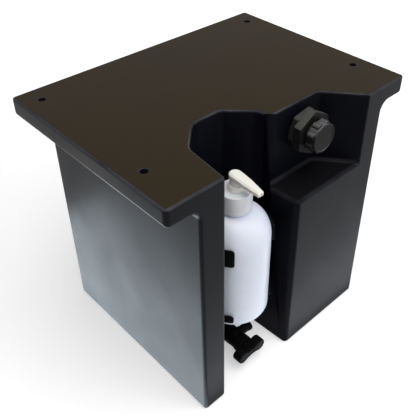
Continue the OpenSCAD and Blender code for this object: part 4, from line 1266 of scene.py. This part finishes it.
stage = {
    "floorSize": 9.0, "floorTone": (0.80, 0.80, 0.81), "floorRough": 0.9, "floorShine": 0.1,
    "floorGlow": 0.42, "fadeFrom": 0.6, "fadeTo": 1.8, "worldFill": 0.35,
}
lamps = {
    "overhead": {"place": (-0.1, -0.6, 1.9), "aim": (0, 0, 0.2), "size": (1.5, 1.5), "power": 25,
                 "tone": (1, 0.985, 0.96)},
    "leftFloor": {"place": (-0.222, 0.08, 0.003), "aim": (-0.212, 0.08, 0.3), "size": (0.5, 0.14),
                  "power": 1.3, "tone": (0.80, 0.92, 1)},
    "frontRight": {"place": (1.0, -1.4, 1.0), "aim": (0, 0, 0.2), "size": (0.9, 0.9), "power": 7,
                   "tone": (0.85, 0.93, 1)},
    "frontFloor": {"place": (0.11, -0.187, 0.003), "aim": (0.11, -0.177, 0.3), "size": (0.5, 0.06),
                   "power": 0.13, "tone": (0.85, 0.93, 1)},
    "backLeft": {"place": (-0.45, 0.38, 0.003), "aim": (-0.44, 0.37, 0.3), "size": (0.3, 0.3),
                 "power": 0.34, "tone": (1, 0.98, 0.95)},
}
view = {
    "place": (-0.46065, -0.50165, 0.73817), "around": 0.780926, "down": 0.632856, "roll": -0.01389,
    "focalPixels": 610.816, "middle": (234.594, 170.096), "frame": 420, "sensor": 36, "clipEnd": 50,
}


def seenDirectly(tree):
    # one for rays from the camera, a mirror or a glass, so that all of them meet the same white
    rays = tree.node("LightPath")
    seen = rays["Is Camera Ray"]
    for kind in ("Is Glossy Ray", "Is Transmission Ray"):
        seen = tree.node("Math", links={0: seen, 1: rays[kind]}, operation="MAXIMUM")["Value"]
    return seen


def buildFloor():
    half = stage["floorSize"] / 2
    corners = [(sx * half, sy * half, 0) for sx, sy in ((-1, -1), (1, -1), (1, 1), (-1, 1))]
    mesh = bpy.data.meshes.new("floor")
    mesh.from_pydata(corners, [], [range(len(corners))])
    floor = placed("floor", mesh)
    sheet = Finish("floorSheet")
    sheet.fix(Base_Color=(*stage["floorTone"], 1), Roughness=stage["floorRough"],
              Specular_IOR_Level=stage["floorShine"])
    # the glow climbs to white away from the object, so that the floor meets the backdrop without a line
    away = sheet.node("VectorMath", links={0: sheet.place}, operation="LENGTH")["Value"]
    strength = sheet.spread(away, stage["floorGlow"], 1, stage["fadeFrom"], stage["fadeTo"])
    glow = sheet.node("Emission", links={"Strength": strength})["Emission"]
    dark = sheet.node("Emission", {"Strength": 0})["Emission"]
    shown = sheet.node("MixShader", links={"Fac": seenDirectly(sheet), 1: dark, 2: glow})["Shader"]
    whole = sheet.node("AddShader", links={0: sheet.shader.outputs["BSDF"], 1: shown})["Shader"]
    sheet.links.new(whole, sheet.nodes["Material Output"].inputs["Surface"])
    mesh.materials.append(sheet.material)


def buildWorld():
    scene.world = bpy.data.worlds.new("studio")
    sky = Nodes(scene.world)
    fill = sky.nodes["Background"]
    fill.inputs["Color"].default_value = (1, 1, 1, 1)
    fill.inputs["Strength"].default_value = stage["worldFill"]
    white = sky.node("Background", {"Color": (1, 1, 1, 1), "Strength": 1})["Background"]
    lit = fill.outputs["Background"]
    shown = sky.node("MixShader", links={"Fac": seenDirectly(sky), 1: lit, 2: white})["Shader"]
    sky.links.new(shown, sky.nodes["World Output"].inputs["Surface"])


def buildLamps():
    for name, lamp in lamps.items():
        light = bpy.data.lights.new(name, "AREA")
        light.shape = "RECTANGLE"
        light.size, light.size_y = lamp["size"]
        light.energy = lamp["power"]
        light.color = lamp["tone"]
        obj = placed(name, light)
        obj.visible_camera = False
        obj.location = lamp["place"]
        aim = Vector(lamp["aim"]) - Vector(lamp["place"])
        obj.rotation_euler = aim.to_track_quat("-Z", "Y").to_euler()


def buildCamera():
    data = bpy.data.cameras.new("camera")
    data.sensor_width = view["sensor"]
    data.lens = view["sensor"] * view["focalPixels"] / view["frame"]
    data.shift_x = 0.5 - view["middle"][0] / view["frame"]
    data.shift_y = view["middle"][1] / view["frame"] - 0.5
    data.clip_end = view["clipEnd"]
    camera = placed("camera", data)
    around, down, roll = view["around"], view["down"], view["roll"]
    ahead = Vector((math.sin(around) * math.cos(down), math.cos(around) * math.cos(down), -math.sin(down)))
    right = Vector((math.cos(around), -math.sin(around), 0))
    below = ahead.cross(right)
    rolledRight = math.cos(roll) * right + math.sin(roll) * below
    rolledBelow = -math.sin(roll) * right + math.cos(roll) * below
    turn = Matrix((rolledRight, -rolledBelow, -ahead)).transposed()
    camera.matrix_world = Matrix.Translation(view["place"]) @ turn.to_4x4()
    scene.camera = camera


buildFloor()
buildWorld()
buildLamps()
buildCamera()
scene.view_settings.view_transform = "Standard"
print("stage set")
